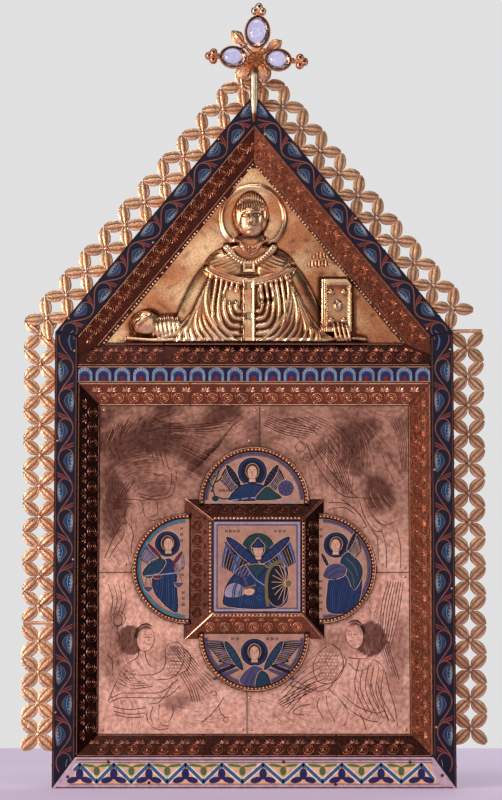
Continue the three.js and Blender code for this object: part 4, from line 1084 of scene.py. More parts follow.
strokes = [
    # lower left: leafy rod, shoulder, arm, scroll, wing and folds
    [-82.8, -62, -81.6, -68.7, -78.2, -74.6], [-87.7, -61.2, -88.4, -67.1, -95.4, -71.2, -100.8, -77.1],
    [-100.8, -77.1, -104.4, -85.5, -108.8, -97.2, -100.4, -94.2, -86.9, -93.9, -70.1, -93, -58, -83.8],
    [-108.4, -100.5, -100.3, -97.5, -85.2, -97.5, -66.7, -96.9, -56.3, -88.8],
    [-108.8, -97.2, -110.4, -99.9, -108.4, -101.5], [-107, -104.2, -95.2, -106.4, -81.5, -104.9],
    [-106.3, -107.6, -95.2, -109.9, -82.5, -108.9], [-105, -110.2, -95.2, -112.2, -83.5, -111.9],
    [-65.1, -56.7, -58.1, -55.6, -53.7, -60.3, -53.3, -68.7, -56.3, -77.1, -63.4, -83, -73.5, -83.8],
    [-65.1, -56.7, -67.5, -62, -67.1, -70.4, -70.1, -77.1, -76.5, -80.1],
    [-61.7, -85.5, -65, -92.2, -71.7, -100.5, -78.4, -102.2], [-76.4, -103.9, -78.4, -110.6, -76.4, -118.1],
    [-71.7, -102.9, -72.4, -110.6, -70, -117.6, -64.9, -118.9], [-62.5, -101.9, -61.3, -108.9, -64.6, -115.6],
    [-81.4, -108.9, -80.1, -115.6, -73.3, -121.4, -64.9, -120.6],
    [-98.8, -75.4, -93.7, -79.1, -87, -80.5, -76.5, -80.1],
    [-39.7, -115.9, -33, -110.6, -26.3, -102.5, -22.9, -96.9], [-27, -102.5, -25.3, -108.9, -21.2, -112.6],
    [-33, -94.2, -30.4, -92.2, -28.3, -94.9, -31.4, -95.9],
    [-53.3, -60.3, -48.3, -65.4, -49.9, -75.4, -56, -79.1],
    [-104, -33.5, -100.6, -36.8, -101, -41.9, -104.7, -43.5, -106.7, -38.5, -104, -33.5],
    [-104, -43.5, -102.6, -51.9, -98.8, -62], [-110.6, -65.4, -107.2, -70.4, -107.8, -78.8, -105.5, -83.8],
    # lower right: robe, arms and folds
    [67.7, -65.4, 69.7, -70.4, 66.3, -77.1, 56.1, -90.5, 46, -92.2, 36, -87.2, 30.9, -84.8],
    [71.4, -67.1, 78.1, -68.1, 90.2, -68.7, 98.3, -75.4, 101.6, -88.8, 106.6, -105.6, 108.5, -118.9],
    [90.2, -68.7, 85.8, -75.4, 78.1, -77.1, 71.4, -71.2], [56.1, -90.5, 64.5, -98.9, 71.2, -108.9, 67.8,
                                                           -118.9],
    [61.5, -94.2, 71.2, -105.6, 84.7, -113.9, 93.1, -115.6],
    [64.9, -93.2, 78, -103.9, 91.4, -108.9, 98.1, -107.6], [54.4, -95.5, 56.1, -105.6, 61.1, -115.6],
    [49.4, -97.5, 47.7, -103.9, 52.7, -113.9], [42.7, -102.2, 34.2, -104.2, 29.2, -108.9, 37.6, -110.6],
    [30.9, -84.8, 27.5, -88.2, 34.3, -90.2, 44.4, -93.9], [79.6, -108.9, 83, -115.6, 84.6, -122.2],
    [93.2, -85.5, 96.5, -98.9, 101.5, -115.6], [88.2, -83.8, 90.1, -93.9, 94.8, -105.6],
    [58.9, -57, 65, -62, 67.7, -72.1, 64.6, -82.1, 56.5, -86.8, 48.1, -84.8, 44.7, -75.4, 47.8, -65.4, 54.5,
     -58.7],
    # upper right: rod, wing arm and long skirts
    [39.7, 96.2, 44.8, 84.3, 53.2, 70.7, 63.4, 58.8, 69.3, 55],
    [43.9, 96.9, 51.5, 84.3, 60, 72.4, 71.8, 60.5, 78.6, 54.5], [69.3, 55, 80.3, 54, 95.5, 53.7],
    [66.7, 52.8, 76.9, 45.2, 85.3, 33.3, 80.2, 29.9], [56.5, 45.2, 68.4, 46.5, 76.9, 41.8],
    [80.3, 52, 84, 40.1, 90.4, 29.9, 97.1, 28.2], [86.4, 52, 90.4, 40.1, 98.8, 33.3, 109, 36.7],
    [78.5, 29.9, 85.2, 16.4, 86.8, 1.2], [97.1, 29.9, 100.4, 16.4, 100.7, 0.3],
    [109, 29.9, 111.4, 16.4, 111.5, 0.3], [73.4, 29.9, 79.5, 16.4, 80.1, 6.3],
    [56.5, 50.3, 66.7, 50.3, 73.5, 48.2], [88.7, 29.9, 93.7, 23.2, 94.5, 6.3],
    # upper left: sleeve, hem and the lower figure's shoulder
    [-88.5, 57.4, -78.6, 55.4, -66.8, 57.4, -63.1, 65.6, -63.1, 73],
    [-87.1, 55, -76.9, 53, -63.7, 55.4, -59.7, 65.6, -59.4, 74.1],
    [-112.5, 52.3, -100.7, 53, -87.1, 52, -84.4, 45.2, -82.7, 39.1, -73.2, 41.5],
    [-87.1, 52, -75.2, 52.3, -73.2, 41.5], [-112.5, 50.3, -102.4, 50.6, -92.2, 49.3],
    [-82.7, 39.1, -76.9, 36.7, -66.7, 40.1], [-114, 7.9, -107.3, 23.2, -101.3, 33.3, -96.5, 35],
    [-95.5, 35, -92.1, 26.5, -93.7, 16.4, -92.7, 7.9], [-96.5, 35, -98.9, 40.1, -97.3, 46.5],
    [-110.6, 7.9, -105.6, 16.4, -100.5, 23.2, -98.9, 29.9], [-77, 73, -73.3, 71, -68.5, 72.4],
]
# rows of long feathers: first line, last line, how many
feathers = [
    ([-56.6, -79.1, -49.9, -90.5, -46.5, -100.9], [-51.6, -76.4, -44.5, -88.8, -40.8, -100.2], 4),
    ([46.1, -85.5, 30.9, -92.2, 16.8, -100.9], [47.7, -90.5, 34.3, -97.5, 20.8, -104.2], 4),
    ([102, -9.9, 96.8, -28.4, 96, -55.3], [113.5, -9.9, 108.9, -38.5, 101.7, -65.4], 7),
    ([96.1, -45.2, 96.7, -57, 101.7, -73.8], [101.8, -55.3, 104.1, -65.4, 110, -83.8], 4),
    ([48.2, 92.8, 58.3, 80.9, 68.4, 57.1], [56.7, 96.2, 68.5, 79.2, 75.2, 57.1], 6),
    ([10.8, 117.7, 26.1, 111.6, 48.2, 106.8], [7.4, 109.8, 22.7, 103, 39.7, 99.6], 6),
    ([102.6, 115, 109.7, 99.6, 113, 74.1], [112.8, 115, 116.5, 94.5, 116.7, 74.1], 5),
    ([-49.9, 80.5, -32.9, 92.8, -14.9, 110.9], [-53.3, 69, -41.4, 79.2, -26.1, 94.5], 7),
    ([-107.4, 45.2, -110.9, 57.1, -114, 69], [-102.3, 45.2, -98.7, 55.4, -92.3, 65.9], 9),
    ([-105.9, 82.6, -111.1, 96.2, -106.1, 111.6], [-99.1, 84.3, -102.6, 96.2, -101, 109.8], 3),
    ([-77.2, 115, -53.4, 109.8, -16, 113.3], [-67, 108.1, -44.9, 104.7, -22.8, 106.4], 4),
    ([-110.9, -11.6, -107.5, -23.4, -109.8, -36.8], [-99.1, -9.9, -97.3, -23.4, -100.7, -35.1], 4),
    ([-53.3, -60.3, -41.5, -73.8, -29.7, -83.8], [-65.1, -56.7, -46.5, -82.1, -36.4, -95.5], 6),
    ([47.8, -65.4, 34.3, -75.4, 19.1, -90.5], [56.5, -86.8, 39.3, -93.9, 25.8, -108.9], 6),
    ([79.8, -68.7, 76.3, -88.8, 84.7, -108.9], [98.3, -75.4, 96.5, -95.5, 106.5, -115.6], 6),
    ([-100.8, -77.1, -95.4, -83.8, -85.2, -85.5], [-104.4, -85.5, -92, -90.5, -76.8, -88.8], 4),
    ([26.1, 115, 46.5, 104.7, 60, 87.7], [46.5, 116.7, 66.9, 106.4, 80.4, 87.7], 6),
    ([-87.4, 115, -90.7, 103, -83.9, 89.4], [-66.9, 103, -68.6, 91.1, -65.2, 75.8], 6),
]
# wings with rows of small scales: middle, half width, half height
scaledWings = [(-60.4, -69.6, 5.6, 12), (56.2, -72.4, 8.6, 12.6), (-95.4, -79.1, 6, 4.6), (65.1, 69, 5, 7.6)]


def openingDistance(u, v):   # below 0 inside the quatrefoil's opening; u and v from its middle
    square = np.maximum(np.abs(u), np.abs(v)) - 53.6
    for du, dv in ((0, 51), (51, 0), (0, -51), (-51, 0)):
        square = np.minimum(square, np.hypot(u - du, v - dv) - 42.3)
    return square


def makeEngravedPlate(node, seed):
    low, high = nodeBox(node)
    place = frontPlace(middleX, middleZ, low[1] - frontY)
    local = np.random.default_rng(seed)
    left, right, bottom, top = low[0] - middleX, high[0] - middleX, low[2] - middleZ, high[2] - middleZ
    columns = int(round((right - left) / plates["step"]))
    rows = int(round((top - bottom) / plates["step"]))
    u, v = np.meshgrid(np.linspace(left, right, columns + 1), np.linspace(bottom, top, rows + 1))
    wave = np.sin(u * 0.11 + seed) * np.sin(v * 0.093 + 2 * seed)
    wave = plates["wave"] * (wave + 0.4 * np.sin(u * 0.31 - v * 0.27))
    edge = np.minimum(np.minimum(u - left, right - u), np.minimum(v - bottom, top - v))
    wave = wave * np.clip(edge / 8, 0, 1) + 0.12 * np.exp(-(edge / 1.2) ** 2)
    # painted tone: browned patches with ragged outlines, paler rubbed metal between
    ragged = 0.3 * np.sin(u * 0.13 + 1.7 * np.sin(v * 0.09)) + 0.2 * np.sin(v * 0.23 + 1.3 * np.sin(u * 0.16 + 2))
    fine = 0.18 * np.sin(u * 0.52 + 2.1 * np.sin(v * 0.34))
    ragged = ragged + fine * np.sin(v * 0.61 + 1.8 * np.sin(u * 0.29 + 1))
    brown = plates["browned"][node[15:]] * (0.8 + 0.5 * ragged) * np.clip(0.25 + np.abs(v) / 80, 0, 1.15)
    for cu, cv, ru, rv, strength in patches:
        reach = np.hypot((u - cu) / ru, (v - cv) / rv) + 0.6 * ragged
        brown = np.maximum(brown, strength * np.clip(1.6 - reach, 0, 1))
    for cu, cv, ru, rv in haloes:
        brown = np.maximum(brown, 0.85 * (np.hypot((u - cu) / ru, (v - cv) / rv) < 1))
    # painted shade beside the raised rim round the opening and along the plate's edges
    edgeShade = 0.4 * np.exp(-np.maximum(openingDistance(u, v), 0) / 2.5) + 0.25 * np.exp(-edge / 2)
    tint = blend(plates["metal"], plates["varnish"], np.clip(brown * 1.1, 0, 1))
    tint = blend(tint, plates["dark"], np.clip(brown - 0.6, 0, 1) * 1.4)
    tint = blend(tint, plates["pale"], np.clip(0.4 * ragged + 0.1, 0, 0.5) * (brown < 0.3))
    tint = blend(tint, plates["dark"], edgeShade)
    cellU = (u[:-1, :-1] + u[1:, 1:]) / 2
    cellV = (v[:-1, :-1] + v[1:, 1:]) / 2
    kept = openingDistance(cellU, cellV) > -0.4
    index = np.arange(u.size).reshape(u.shape)
    corners = [index[:-1, :-1], index[:-1, 1:], index[1:, 1:], index[1:, :-1]]
    quads = np.stack([c[kept] for c in corners], axis=1)
    used, inverse = np.unique(quads, return_inverse=True)
    quads = inverse.reshape(quads.shape)
    count = len(used)
    flatU, flatV, flatWave = u.ravel()[used], v.ravel()[used], wave.ravel()[used]
    upper = np.stack([flatU, flatV, flatWave], axis=1)
    under = np.stack([flatU, flatV, np.full(count, -1.1)], axis=1)
    faces = quads.tolist() + (quads[:, ::-1] + count).tolist()
    sides = {}
    for quad in quads.tolist():
        for a, b in zip(quad, quad[1:] + quad[:1]):
            if (b, a) in sides:
                del sides[(b, a)]
            else:
                sides[(a, b)] = True
    faces += [(b, a, a + count, b + count) for a, b in sides]
    sketch = newSketch(place)
    addBody(sketch, np.concatenate([upper, under]), faces, np.tile(tint.reshape(-1, 4)[used], (2, 1)))

    def isOn(points):
        points = np.asarray(points, float)
        inside = (points[:, 0] > left + 1) & (points[:, 0] < right - 1) & (points[:, 1] > bottom + 1)
        return bool(np.all(inside & (points[:, 1] < top - 1) & (openingDistance(points[:, 0],
                                                                                points[:, 1]) > 1)))

    def engrave(points, width=plates["lineWidth"], tint=plates["line"], steps=5, section=sharpSection):
        path = curve(points, steps) if steps > 1 else np.asarray(points, float)
        middle = len(path) // 2
        if not isOn(path[middle:middle + 1]):
            return
        good = [p for p in path if isOn([p])]
        if len(good) > 1:
            addRidge(sketch, good, width, 0.16 if section is sharpSection else 0.05, tint, section, base=0.1)

    for line in strokes:
        engrave(line)
    for first, last, number in feathers:
        for share in np.linspace(0, 1, number):
            engrave(np.array(first) * (1 - share) + np.array(last) * share)
    for cu, cv, ru, rv in scaledWings:
        for row in range(int(2 * rv / 2.6)):
            for column in range(int(2 * ru / 2.6)):
                su = cu - ru + 1.3 + 2.6 * column + (1.3 if row % 2 else 0)
                sv = cv - rv + 1.3 + 2.6 * row
                if math.hypot((su - cu) / ru, (sv - cv) / rv) < 1:
                    engrave([(su - 1.2, sv + 0.7), (su, sv - 1), (su + 1.2, sv + 0.7)], 0.34, steps=3)
    for cu, cv, ru, rv, turn in heads:
        if not isOn([(cu, cv)]):
            continue
        side = 1 if turn > 0 else -1
        outlineHead = ellipse(cu, cv, ru, rv, 28, -0.12 * side)
        addPlate(sketch, outlineHead, -0.2, 0.22, blend(plates["metal"], plates["varnish"], 0.12))
        addRing(sketch, outlineHead, 0.6, 0.3, plates["line"], sharpSection, base=0.1)
        for k in range(17):   # thick curls of hair round the back of the head
            turn = math.pi / 2 + side * (-0.5 + 0.125 * k)
            for reach, curl in ((0.86, 1.5), (1.12, 1.3)):
                hu, hv = cu + ru * reach * math.cos(turn), cv + rv * reach * math.sin(turn)
                addRidge(sketch, curve([(hu - curl * 0.8, hv - curl * 0.5), (hu, hv + curl * 0.7),
                                        (hu + curl, hv - curl * 0.3)], 4),
                         0.5, 0.3, plates["line"], sharpSection, base=0.16)
        nose = cu + side * 2.1
        features = [([nose, cv + 2.4, nose + side * 0.5, cv - 0.8, nose - side * 0.7, cv - 1.6], 0.34),
                    ([nose - 1.5, cv - 4.2, nose, cv - 4, nose + 1.5, cv - 4.2], 0.4)]
        for eye in (cu - side * 0.2, cu + side * 3.7):   # closed, calm eyes and their brows
            features += [([eye - 1.3, cv + 1.2, eye, cv + 0.7, eye + 1.3, cv + 1.2], 0.4),
                         ([eye - 1.5, cv + 3, eye, cv + 3.6, eye + 1.5, cv + 3], 0.34)]
        for points, width in features[2:] + features[:2]:
            addRidge(sketch, curve(points, 4), width, 0.14, plates["line"], sharpSection, base=0.24)
    for cu, cv, radius in ((35.4, 92.8, 3.8), (40.7, 85, 3.2), (-21.2, -114.2, 2), (-103.2, -37.7, 5.4)):
        if isOn([(cu, cv)]):
            addRing(sketch, ellipse(cu, cv, radius, radius, 20), 0.4, 0.2, plates["line"], sharpSection,
                    base=0.12)
    # fine hatching that follows the swing of the drawing
    for k in range(plates["hatch"]):
        spot = np.array([local.uniform(left + 3, right - 3), local.uniform(bottom + 3, top - 3)])
        path = []
        for step in range(local.integers(4, 11)):
            swing = math.atan2(spot[1], spot[0]) + math.pi / 2 + 0.6 * math.sin(spot[0] * 0.045 + seed)
            swing += 0.5 * math.sin(spot[1] * 0.06)
            path.append(spot)
            spot = spot + 2.3 * np.array([math.cos(swing), math.sin(swing)])
        if isOn(path) and not any(math.hypot((u - cu) / ru, (v - cv) / rv) < 1.2 for u, v in path
                                  for cu, cv, ru, rv, turn in heads):
            row = int((path[0][1] - bottom) / (top - bottom) * rows)
            column = int((path[0][0] - left) / (right - left) * columns)
            shade = plates["hatchPale"] if brown[row, column] > plates["paleFrom"] else plates["hatchShade"]
            engrave(path, plates["hatchWidth"], tint[row, column] * shade, 1, flatSection)
    for nailU, nailV in [(left + 3, top - 3), (right - 3, top - 3), (left + 3, bottom + 3),
                         (right - 3, bottom + 3)] + seamNails:
        if isOn([(nailU, nailV)]):
            addBead(sketch, nailU, nailV, 1.2, 0.7, plates["nail"], base=0.1)
    finishSketch(sketch, node + "_engraved", plateCopper, "engraved_plate", node, smooth=40)


for seed, name in enumerate(("upper_left", "upper_right", "lower_left", "lower_right")):
    makeEngravedPlate("engraved_plate_" + name, seed + 1)
print("engraved plates drawn")


# Enamel figures of the quatrefoil.

glass = {
    **palette(ground=(182, 136, 116, 0.5), lilac=(74, 68, 104, 0), white=(150, 140, 164, 0),
              blue=(11, 26, 70, 0), navy=(8, 11, 36, 0), sky=(50, 90, 144, 0), teal=(12, 42, 56, 0),
              green=(24, 48, 38, 0), turquoise=(46, 120, 148, 0), red=(98, 26, 34, 0),
              olive=(120, 102, 60, 0.2), skin=(216, 166, 140, 0.4), line=(226, 178, 140, 0.9),
              ink=(28, 18, 30, 0), hair=(66, 42, 36, 0.1)),
    "shaded": ("blue", "teal", "green"),
}


def fill(sketch, outline, tint, level, rim=0.32, rimTint="line"):
    if rim:
        addPlate(sketch, grow(outline, rim), -0.4, level - 0.02, glass[rimTint])
    addPlate(sketch, outline, -0.4, level, glass[tint])
    if tint in glass["shaded"] and abs(area(outline)) > 40:   # a paler heart to each cell
        addPlate(sketch, grow(outline, -1.1), -0.4, level + 0.01, blend(glass[tint], glass["sky"], 0.16))


def addCell(sketch, tint, level, points):   # a rounded cell of enamel
    fill(sketch, curve(points, 4, True), tint, level)


def addLines(sketch, lines, tint, level, width=0.4):
    for line in lines:
        addRidge(sketch, curve(line, 4), width, 0.05, glass[tint], flatSection, base=level)


# Folds of a robe: each line drawn dark, with a pale line beside it.
def addFolds(sketch, lines, tint, level, step=1.5):
    for line in lines:
        for shift, name, width in ((0, "ink", 0.7), (0.5, tint, 0.45), (-step, "navy", 0.5),
                                   (-step * 0.62, tint, 0.3)):
            moved = [(u + shift, v + 0.2 * shift) for u, v in np.reshape(line, (-1, 2))]
            addRidge(sketch, curve(moved, 4), width, 0.05, glass[name], flatSection, base=level)


def addHead(sketch, u, v, size, halo, haloTint, lean=0, cap=None):
    for share, tint, level in ((1, haloTint, 0.1), (0.8, "navy" if haloTint == "blue" else haloTint, 0.12)):
        fill(sketch, ellipse(u, v, halo * share, halo * share, 30), tint, level)
    fill(sketch, ellipse(u, v + size * 0.14, size * 0.98, size * 1.16, 22), "hair", 0.16)
    face = ellipse(u + lean * size, v - size * 0.06, size * 0.72, size * 1, 22)
    fill(sketch, face, "skin", 0.2, 0.22, "ink")
    cu, cv = u + lean * size, v
    for side in (-1, 1):
        addLines(sketch, [[(cu + side * 0.32 * size - 0.5, cv + 0.1), (cu + side * 0.32 * size, cv - 0.12),
                           (cu + side * 0.32 * size + 0.5, cv + 0.1)],
                          [(cu + side * 0.34 * size - 0.6, cv + 0.28 * size),
                           (cu + side * 0.34 * size, cv + 0.36 * size),
                           (cu + side * 0.34 * size + 0.6, cv + 0.28 * size)]], "ink", 0.22, 0.34)
    addLines(sketch, [[(cu, cv + 0.18 * size), (cu + 0.1, cv - 0.3 * size), (cu - 0.25, cv - 0.36 * size)],
                      [(cu - 0.55, cv - 0.62 * size), (cu, cv - 0.6 * size), (cu + 0.55, cv - 0.62 * size)]],
                      "ink", 0.22, 0.3)
    fill(sketch, [(cu - 0.4 * size, v - size * 0.9), (cu + 0.4 * size, v - size * 0.9),
                  (cu + 0.5 * size, v - size * 1.5),
                  (cu - 0.5 * size, v - size * 1.5)], "skin", 0.15, 0.2)
    if cap:
        fill(sketch, curve([(u - size, v + 0.35 * size), (u - 0.5 * size, v + 1.2 * size), (u, v + 1.75 * size),
                            (u + 0.5 * size, v + 1.2 * size), (u + size, v + 0.35 * size)], 4, True), cap, 0.24)


# A wing: rounded shoulder at the root's far end and feathers along its trailing side.
def addWing(sketch, root, shoulder, feathersEnd, width, topTint, featherTints, level=0.09):
    root, shoulder, end = (np.array(p, float) for p in (root, shoulder, feathersEnd))
    across = unit([-(shoulder - root)[1], (shoulder - root)[0]])
    if across @ (end - root) < 0:
        across = -across
    count = 10
    for k in range(count):
        share = k / (count - 1)
        foot = root + (shoulder - root) * (0.1 + 0.86 * share)
        tip = foot + (end - shoulder) * (0.62 + 0.38 * share) + (end - root) * 0.16 * (1 - share)
        run = tip - foot
        turn = math.atan2(run[1], run[0])
        shape = ellipse(*((foot + tip) / 2), np.linalg.norm(run) / 2 + 0.6, width * 0.115, 14, turn)
        fill(sketch, shape, featherTints[k % len(featherTints)], level + 0.01 * (k % 3), 0.34, "ink")
        addLines(sketch, [[foot + run * 0.3, tip]], "line", level + 0.03, 0.22)
    turn = math.atan2(*(shoulder - root)[::-1])
    length = np.linalg.norm(shoulder - root)
    fill(sketch, ellipse(*((root + shoulder) / 2), length / 2 + width * 0.12, width * 0.24, 22, turn), topTint,
         level + 0.05)
    for k in range(1, 6):   # small scales over the top of the wing
        spot = root + (shoulder - root) * k / 6
        addLines(sketch, [[spot - across * width * 0.2, spot + (shoulder - root) / length * 0.9,
                           spot + across * width * 0.2]], "lilac", level + 0.07, 0.3)


def addStrokes(sketch, spots, size=2.6):   # a row of plain upright ticks, long and short in turn
    for k, (u, v) in enumerate(np.reshape(spots, (-1, 2))):
        for shift, share in ((-0.75, 1), (0, 0.55), (0.75, 0.8)):
            reach = size * share * (0.5 if k % 2 else 0.42)
            addLines(sketch, [[(u + shift, v - reach), (u + shift, v), (u + shift, v + reach)]], "ink", 0.09,
                     0.42)


def lobeOutline(side, radius, foot):
    start = math.asin((foot - 51) / radius)
    turn = np.linspace(start, math.pi - start, 45)
    points = [(radius * math.cos(a), 51 + radius * math.sin(a)) for a in turn]
    spin = {"top": 0, "left": 1, "bottom": 2, "right": 3}[side]
    for _ in range(spin):
        points = [(-v, u) for u, v in points]
    return np.array(points)


def startLobe(side, borderTint):
    node = "lobe_enamel_" + side
    sketch = newSketch(frontPlace(middleX, middleZ, nodeBox(node)[0][1] - frontY))
    addPlate(sketch, lobeOutline(side, 37.8, 49.4), -4.5, 0, glass["ground"])
    addRidge(sketch, lobeOutline(side, 36.6, 49.6)[1:-1], 1.9, 0.06, glass[borderTint], flatSection)
    addRidge(sketch, lobeOutline(side, 35.2, 49.8)[1:-1], 0.4, 0.08, glass["ink"], flatSection)
    return sketch


sketch = startLobe("top", "lilac")
for s in (-1, 1):
    addWing(sketch, (-1.4 + s * 10, 63.5), (-1.4 + s * 19, 77.9), (-1.4 + s * 24, 68), 11, "navy",
            ("navy", "lilac", "blue"))
addHead(sketch, -1.4, 73.6, 5, 11.2, "blue")
addCell(sketch, "blue", 0.14, [-19.9, 52.1, -13.8, 61.2, -6.2, 64.8, 2.9, 64.8, 10.5, 61.8, 21.1, 53.6, 10.5,
                               51.8, -10.8, 51.2])
addCell(sketch, "green", 0.18, [1.4, 52.1, 5.6, 59.4, 10.5, 62.7, 15, 59.4, 20.8, 53.3])
addFolds(sketch, [[-10.8, 52.1, -6.2, 58.1, -2.9, 62.7], [-4.7, 51.8, -0.9, 57.2, 1.4, 62.7],
                  [-16.9, 52.7, -12.3, 57.2, -9.3, 61.2]], "sky", 0.2)
fill(sketch, ellipse(24.2, 61.2, 6.2, 6.2, 24), "lilac", 0.16)
for k in range(8):
    a = k * math.pi / 4
    cu, cv = (24.2, 61.2)
    addLines(sketch, [[(cu + 1.2 * math.cos(a), cv + 1.2 * math.sin(a)),
                       (cu + 5.2 * math.cos(a), cv + 5.2 * math.sin(a))]], "blue", 0.18, 0.5)
addLines(sketch, [[-29.6, 53.6, -31.4, 61.2, -29, 68, -27.2, 73.3], [-30.8, 61.2, -34.2, 65.4],
                  [-29.6, 65.7, -25.7, 67.9], [-29, 54.8, -22.9, 53, -16.9, 54.2]], "green", 0.14, 1)
for u, v in ((-34.2, 66.3), (-25.1, 68.8), (-27.2, 73.9), (-30.2, 70.3), (-32.1, 59.4)):
    fill(sketch, ellipse(u, v, 1.7, 1, 12, 0.8), "green", 0.15, 0.2)
fill(sketch, ellipse(-29.6, 53.3, 2.8, 2.4, 14), "green", 0.15)
addStrokes(sketch, [-25.7, 59.4, -23.2, 59.4, -20.5, 59.4, -18.1, 59.4])
addLines(sketch, [[-32.1, 49.8, -16.9, 51.8, -0.2, 53.9, 16.6, 51.8, 33.3, 49.8]], "white", 0.12, 0.9)
finishSketch(sketch, "lobe_enamel_top_figure", plaqueEnamel, "enamel_plaque", "lobe_enamel_top")

sketch = startLobe("right", "lilac")
addWing(sketch, (71.2, 14.1), (77.3, 27.8), (81.1, 14.1), 7, "navy", ("lilac", "ink"))
addWing(sketch, (56.1, 2), (51.5, 11.1), (56.1, 2), 6, "navy", ("blue", "navy"))
addCell(sketch, "blue", 0.12, [56.1, -32.9, 55.3, -16.2, 57.6, -7.1, 65.2, -5.6, 72.8, 2, 80.4, 5, 82.2, -7.1,
                               80.4, -22.3, 74.3, -32.6])
addCell(sketch, "teal", 0.16, [65.2, 5, 71.2, 12.6, 78.8, 6.5, 82.2, 0.5, 81.6, -7.1, 75.8, -16.2, 71.2, -7.1])
addFolds(sketch, [[59.1, -31.4, 59.1, -16.2, 62.1, -7.1], [63.6, -32.3, 64.6, -19.3, 68.2, -10.2],
                  [69.7, -32.3, 72.8, -22.3, 75.8, -13.2], [75.8, -29.9, 78.8, -19.3]], "sky", 0.19)
addLines(sketch, [[69.7, 8, 75.8, 2, 78.8, -5.6], [68.2, 2, 74.3, -4.1, 75.8, -13.2]], "olive", 0.2, 0.5)
addHead(sketch, 62.4, 17.9, 4.7, 9.8, "blue", -0.1)
addCell(sketch, "lilac", 0.22, [52.3, -5.6, 56.1, 2, 63.6, 3.8, 69.7, 0.5, 68.2, -5.6, 59.1, -8.3])
addLines(sketch, [[53.8, -5.6, 57.6, -1.1, 65.2, 2], [56.1, -7.1, 62.1, -2.9, 68.8, -1.7]], "blue", 0.24, 0.45)
addStrokes(sketch, [50.9, 29.9, 50.9, 24.7, 50.6, -9.6, 50.6, -15, 50.6, -20.5, 50.6, -25.7, 50.6, -30.8])
finishSketch(sketch, "lobe_enamel_right_figure", plaqueEnamel, "enamel_plaque", "lobe_enamel_right")

sketch = startLobe("left", "turquoise")
addWing(sketch, (-70.8, 8), (-80.7, 18.7), (-86.7, 8), 7, "red", ("lilac", "sky"))
addWing(sketch, (-62.4, 2), (-54.8, 12.6), (-53.3, 2), 7, "red", ("lilac", "white"))
addCell(sketch, "blue", 0.12, [-76.1, -17.8, -77.6, -7.1, -73.1, 2, -65.5, 8, -59.4, 2, -58.5, -13.2, -57.9,
                               -32.6, -65.5, -29.9, -71.5, -23.8])
addCell(sketch, "teal", 0.16, [-85.2, -4.1, -79.1, 5, -71.5, 8, -67, 5, -71.5, -2.6, -79.1, -7.1])
addFolds(sketch, [[-71.5, -22.3, -70.3, -13.2, -70, -5.6], [-66.1, -28.4, -65.5, -16.2, -66.1, -4.1],
                  [-61.5, -31.4, -61.2, -16.2, -62.1, -4.1], [-74.6, -17.8, -73.7, -10.2]], "sky", 0.19)
addHead(sketch, -65.9, 18.7, 4.7, 9.8, "blue", 0.15)
addLines(sketch, [[-83.1, -5.6, -70, -4.4, -56.1, -2.9]], "white", 0.24, 0.9)
addLines(sketch, [[-81.3, -5.6, -83.1, -14.7], [-80.1, -5.6, -77, -14.7], [-57.6, -3.2, -60, -11.4],
                  [-57, -3.2, -54.2, -11.4]], "ink", 0.22, 0.3)
for spot in ((-80.4, -15.6), (-57.3, -12.3)):
    fill(sketch, curve([(spot[0] - 3.4, spot[1] + 1.4), (spot[0], spot[1] - 2.4),
                        (spot[0] + 3.4, spot[1] + 1.4)], 4, True), "lilac", 0.22)
fill(sketch, ellipse(-73.7, -5.9, 3.4, 1.8, 16), "red", 0.2)
addStrokes(sketch, [-55.1, 30.5, -55.1, 26, -55.1, 21.4, -54.5, 0.5, -54.5, -4.7, -53.9, -18.1, -53.9, -22.6,
                    -53.9, -27.2])
finishSketch(sketch, "lobe_enamel_left_figure", plaqueEnamel, "enamel_plaque", "lobe_enamel_left")

sketch = startLobe("bottom", "lilac")
for s in (-1, 1):
    root, shoulder = (-0.4 + s * 9, -75.4), (-0.4 + s * 21, -56)
    addWing(sketch, root, shoulder, (-0.4 + s * 37, -54.8), 13, "teal", ("navy", "lilac", "teal", "navy"))
    for k in range(5):
        foot = np.array([-0.4 + s * (10 + 2.5 * k), -75.4 + 2.6 * k])
        tip = np.array([-0.4 + s * (31 - 1.5 * k), -65.7 - 5 * (4 - k) * 0.9])
        run = tip - foot
        fill(sketch, ellipse(*((foot + tip) / 2), np.linalg.norm(run) / 2, 1.3, 14, math.atan2(run[1], run[0])),
             ("lilac", "navy")[k % 2], 0.11 + 0.01 * k, 0.22, "ink")
addCell(sketch, "lilac", 0.17, [-10.8, -86.1, -7.7, -78.5, -1.7, -73.9, 2.9, -73.9, 9, -78.5, 12.3, -87.9, 1.4,
                                -91.5])
addCell(sketch, "teal", 0.2, [1.4, -90.6, 2, -81.5, 5.6, -77, 10.5, -80, 12.3, -88.5])
addLines(sketch, [[-6.2, -87.6, -4.7, -81.5, -0.8, -77], [-3.2, -90, -1.7, -83.9, 0.8, -78.5]], "blue", 0.2,
         0.4)
addHead(sketch, 0.2, -63.3, 4.9, 10.4, "blue")
addStrokes(sketch, [-16.3, -53, -12.6, -53, 10.2, -53, 13.8, -53, 17.2, -53])
finishSketch(sketch, "lobe_enamel_bottom_figure", plaqueEnamel, "enamel_plaque", "lobe_enamel_bottom")

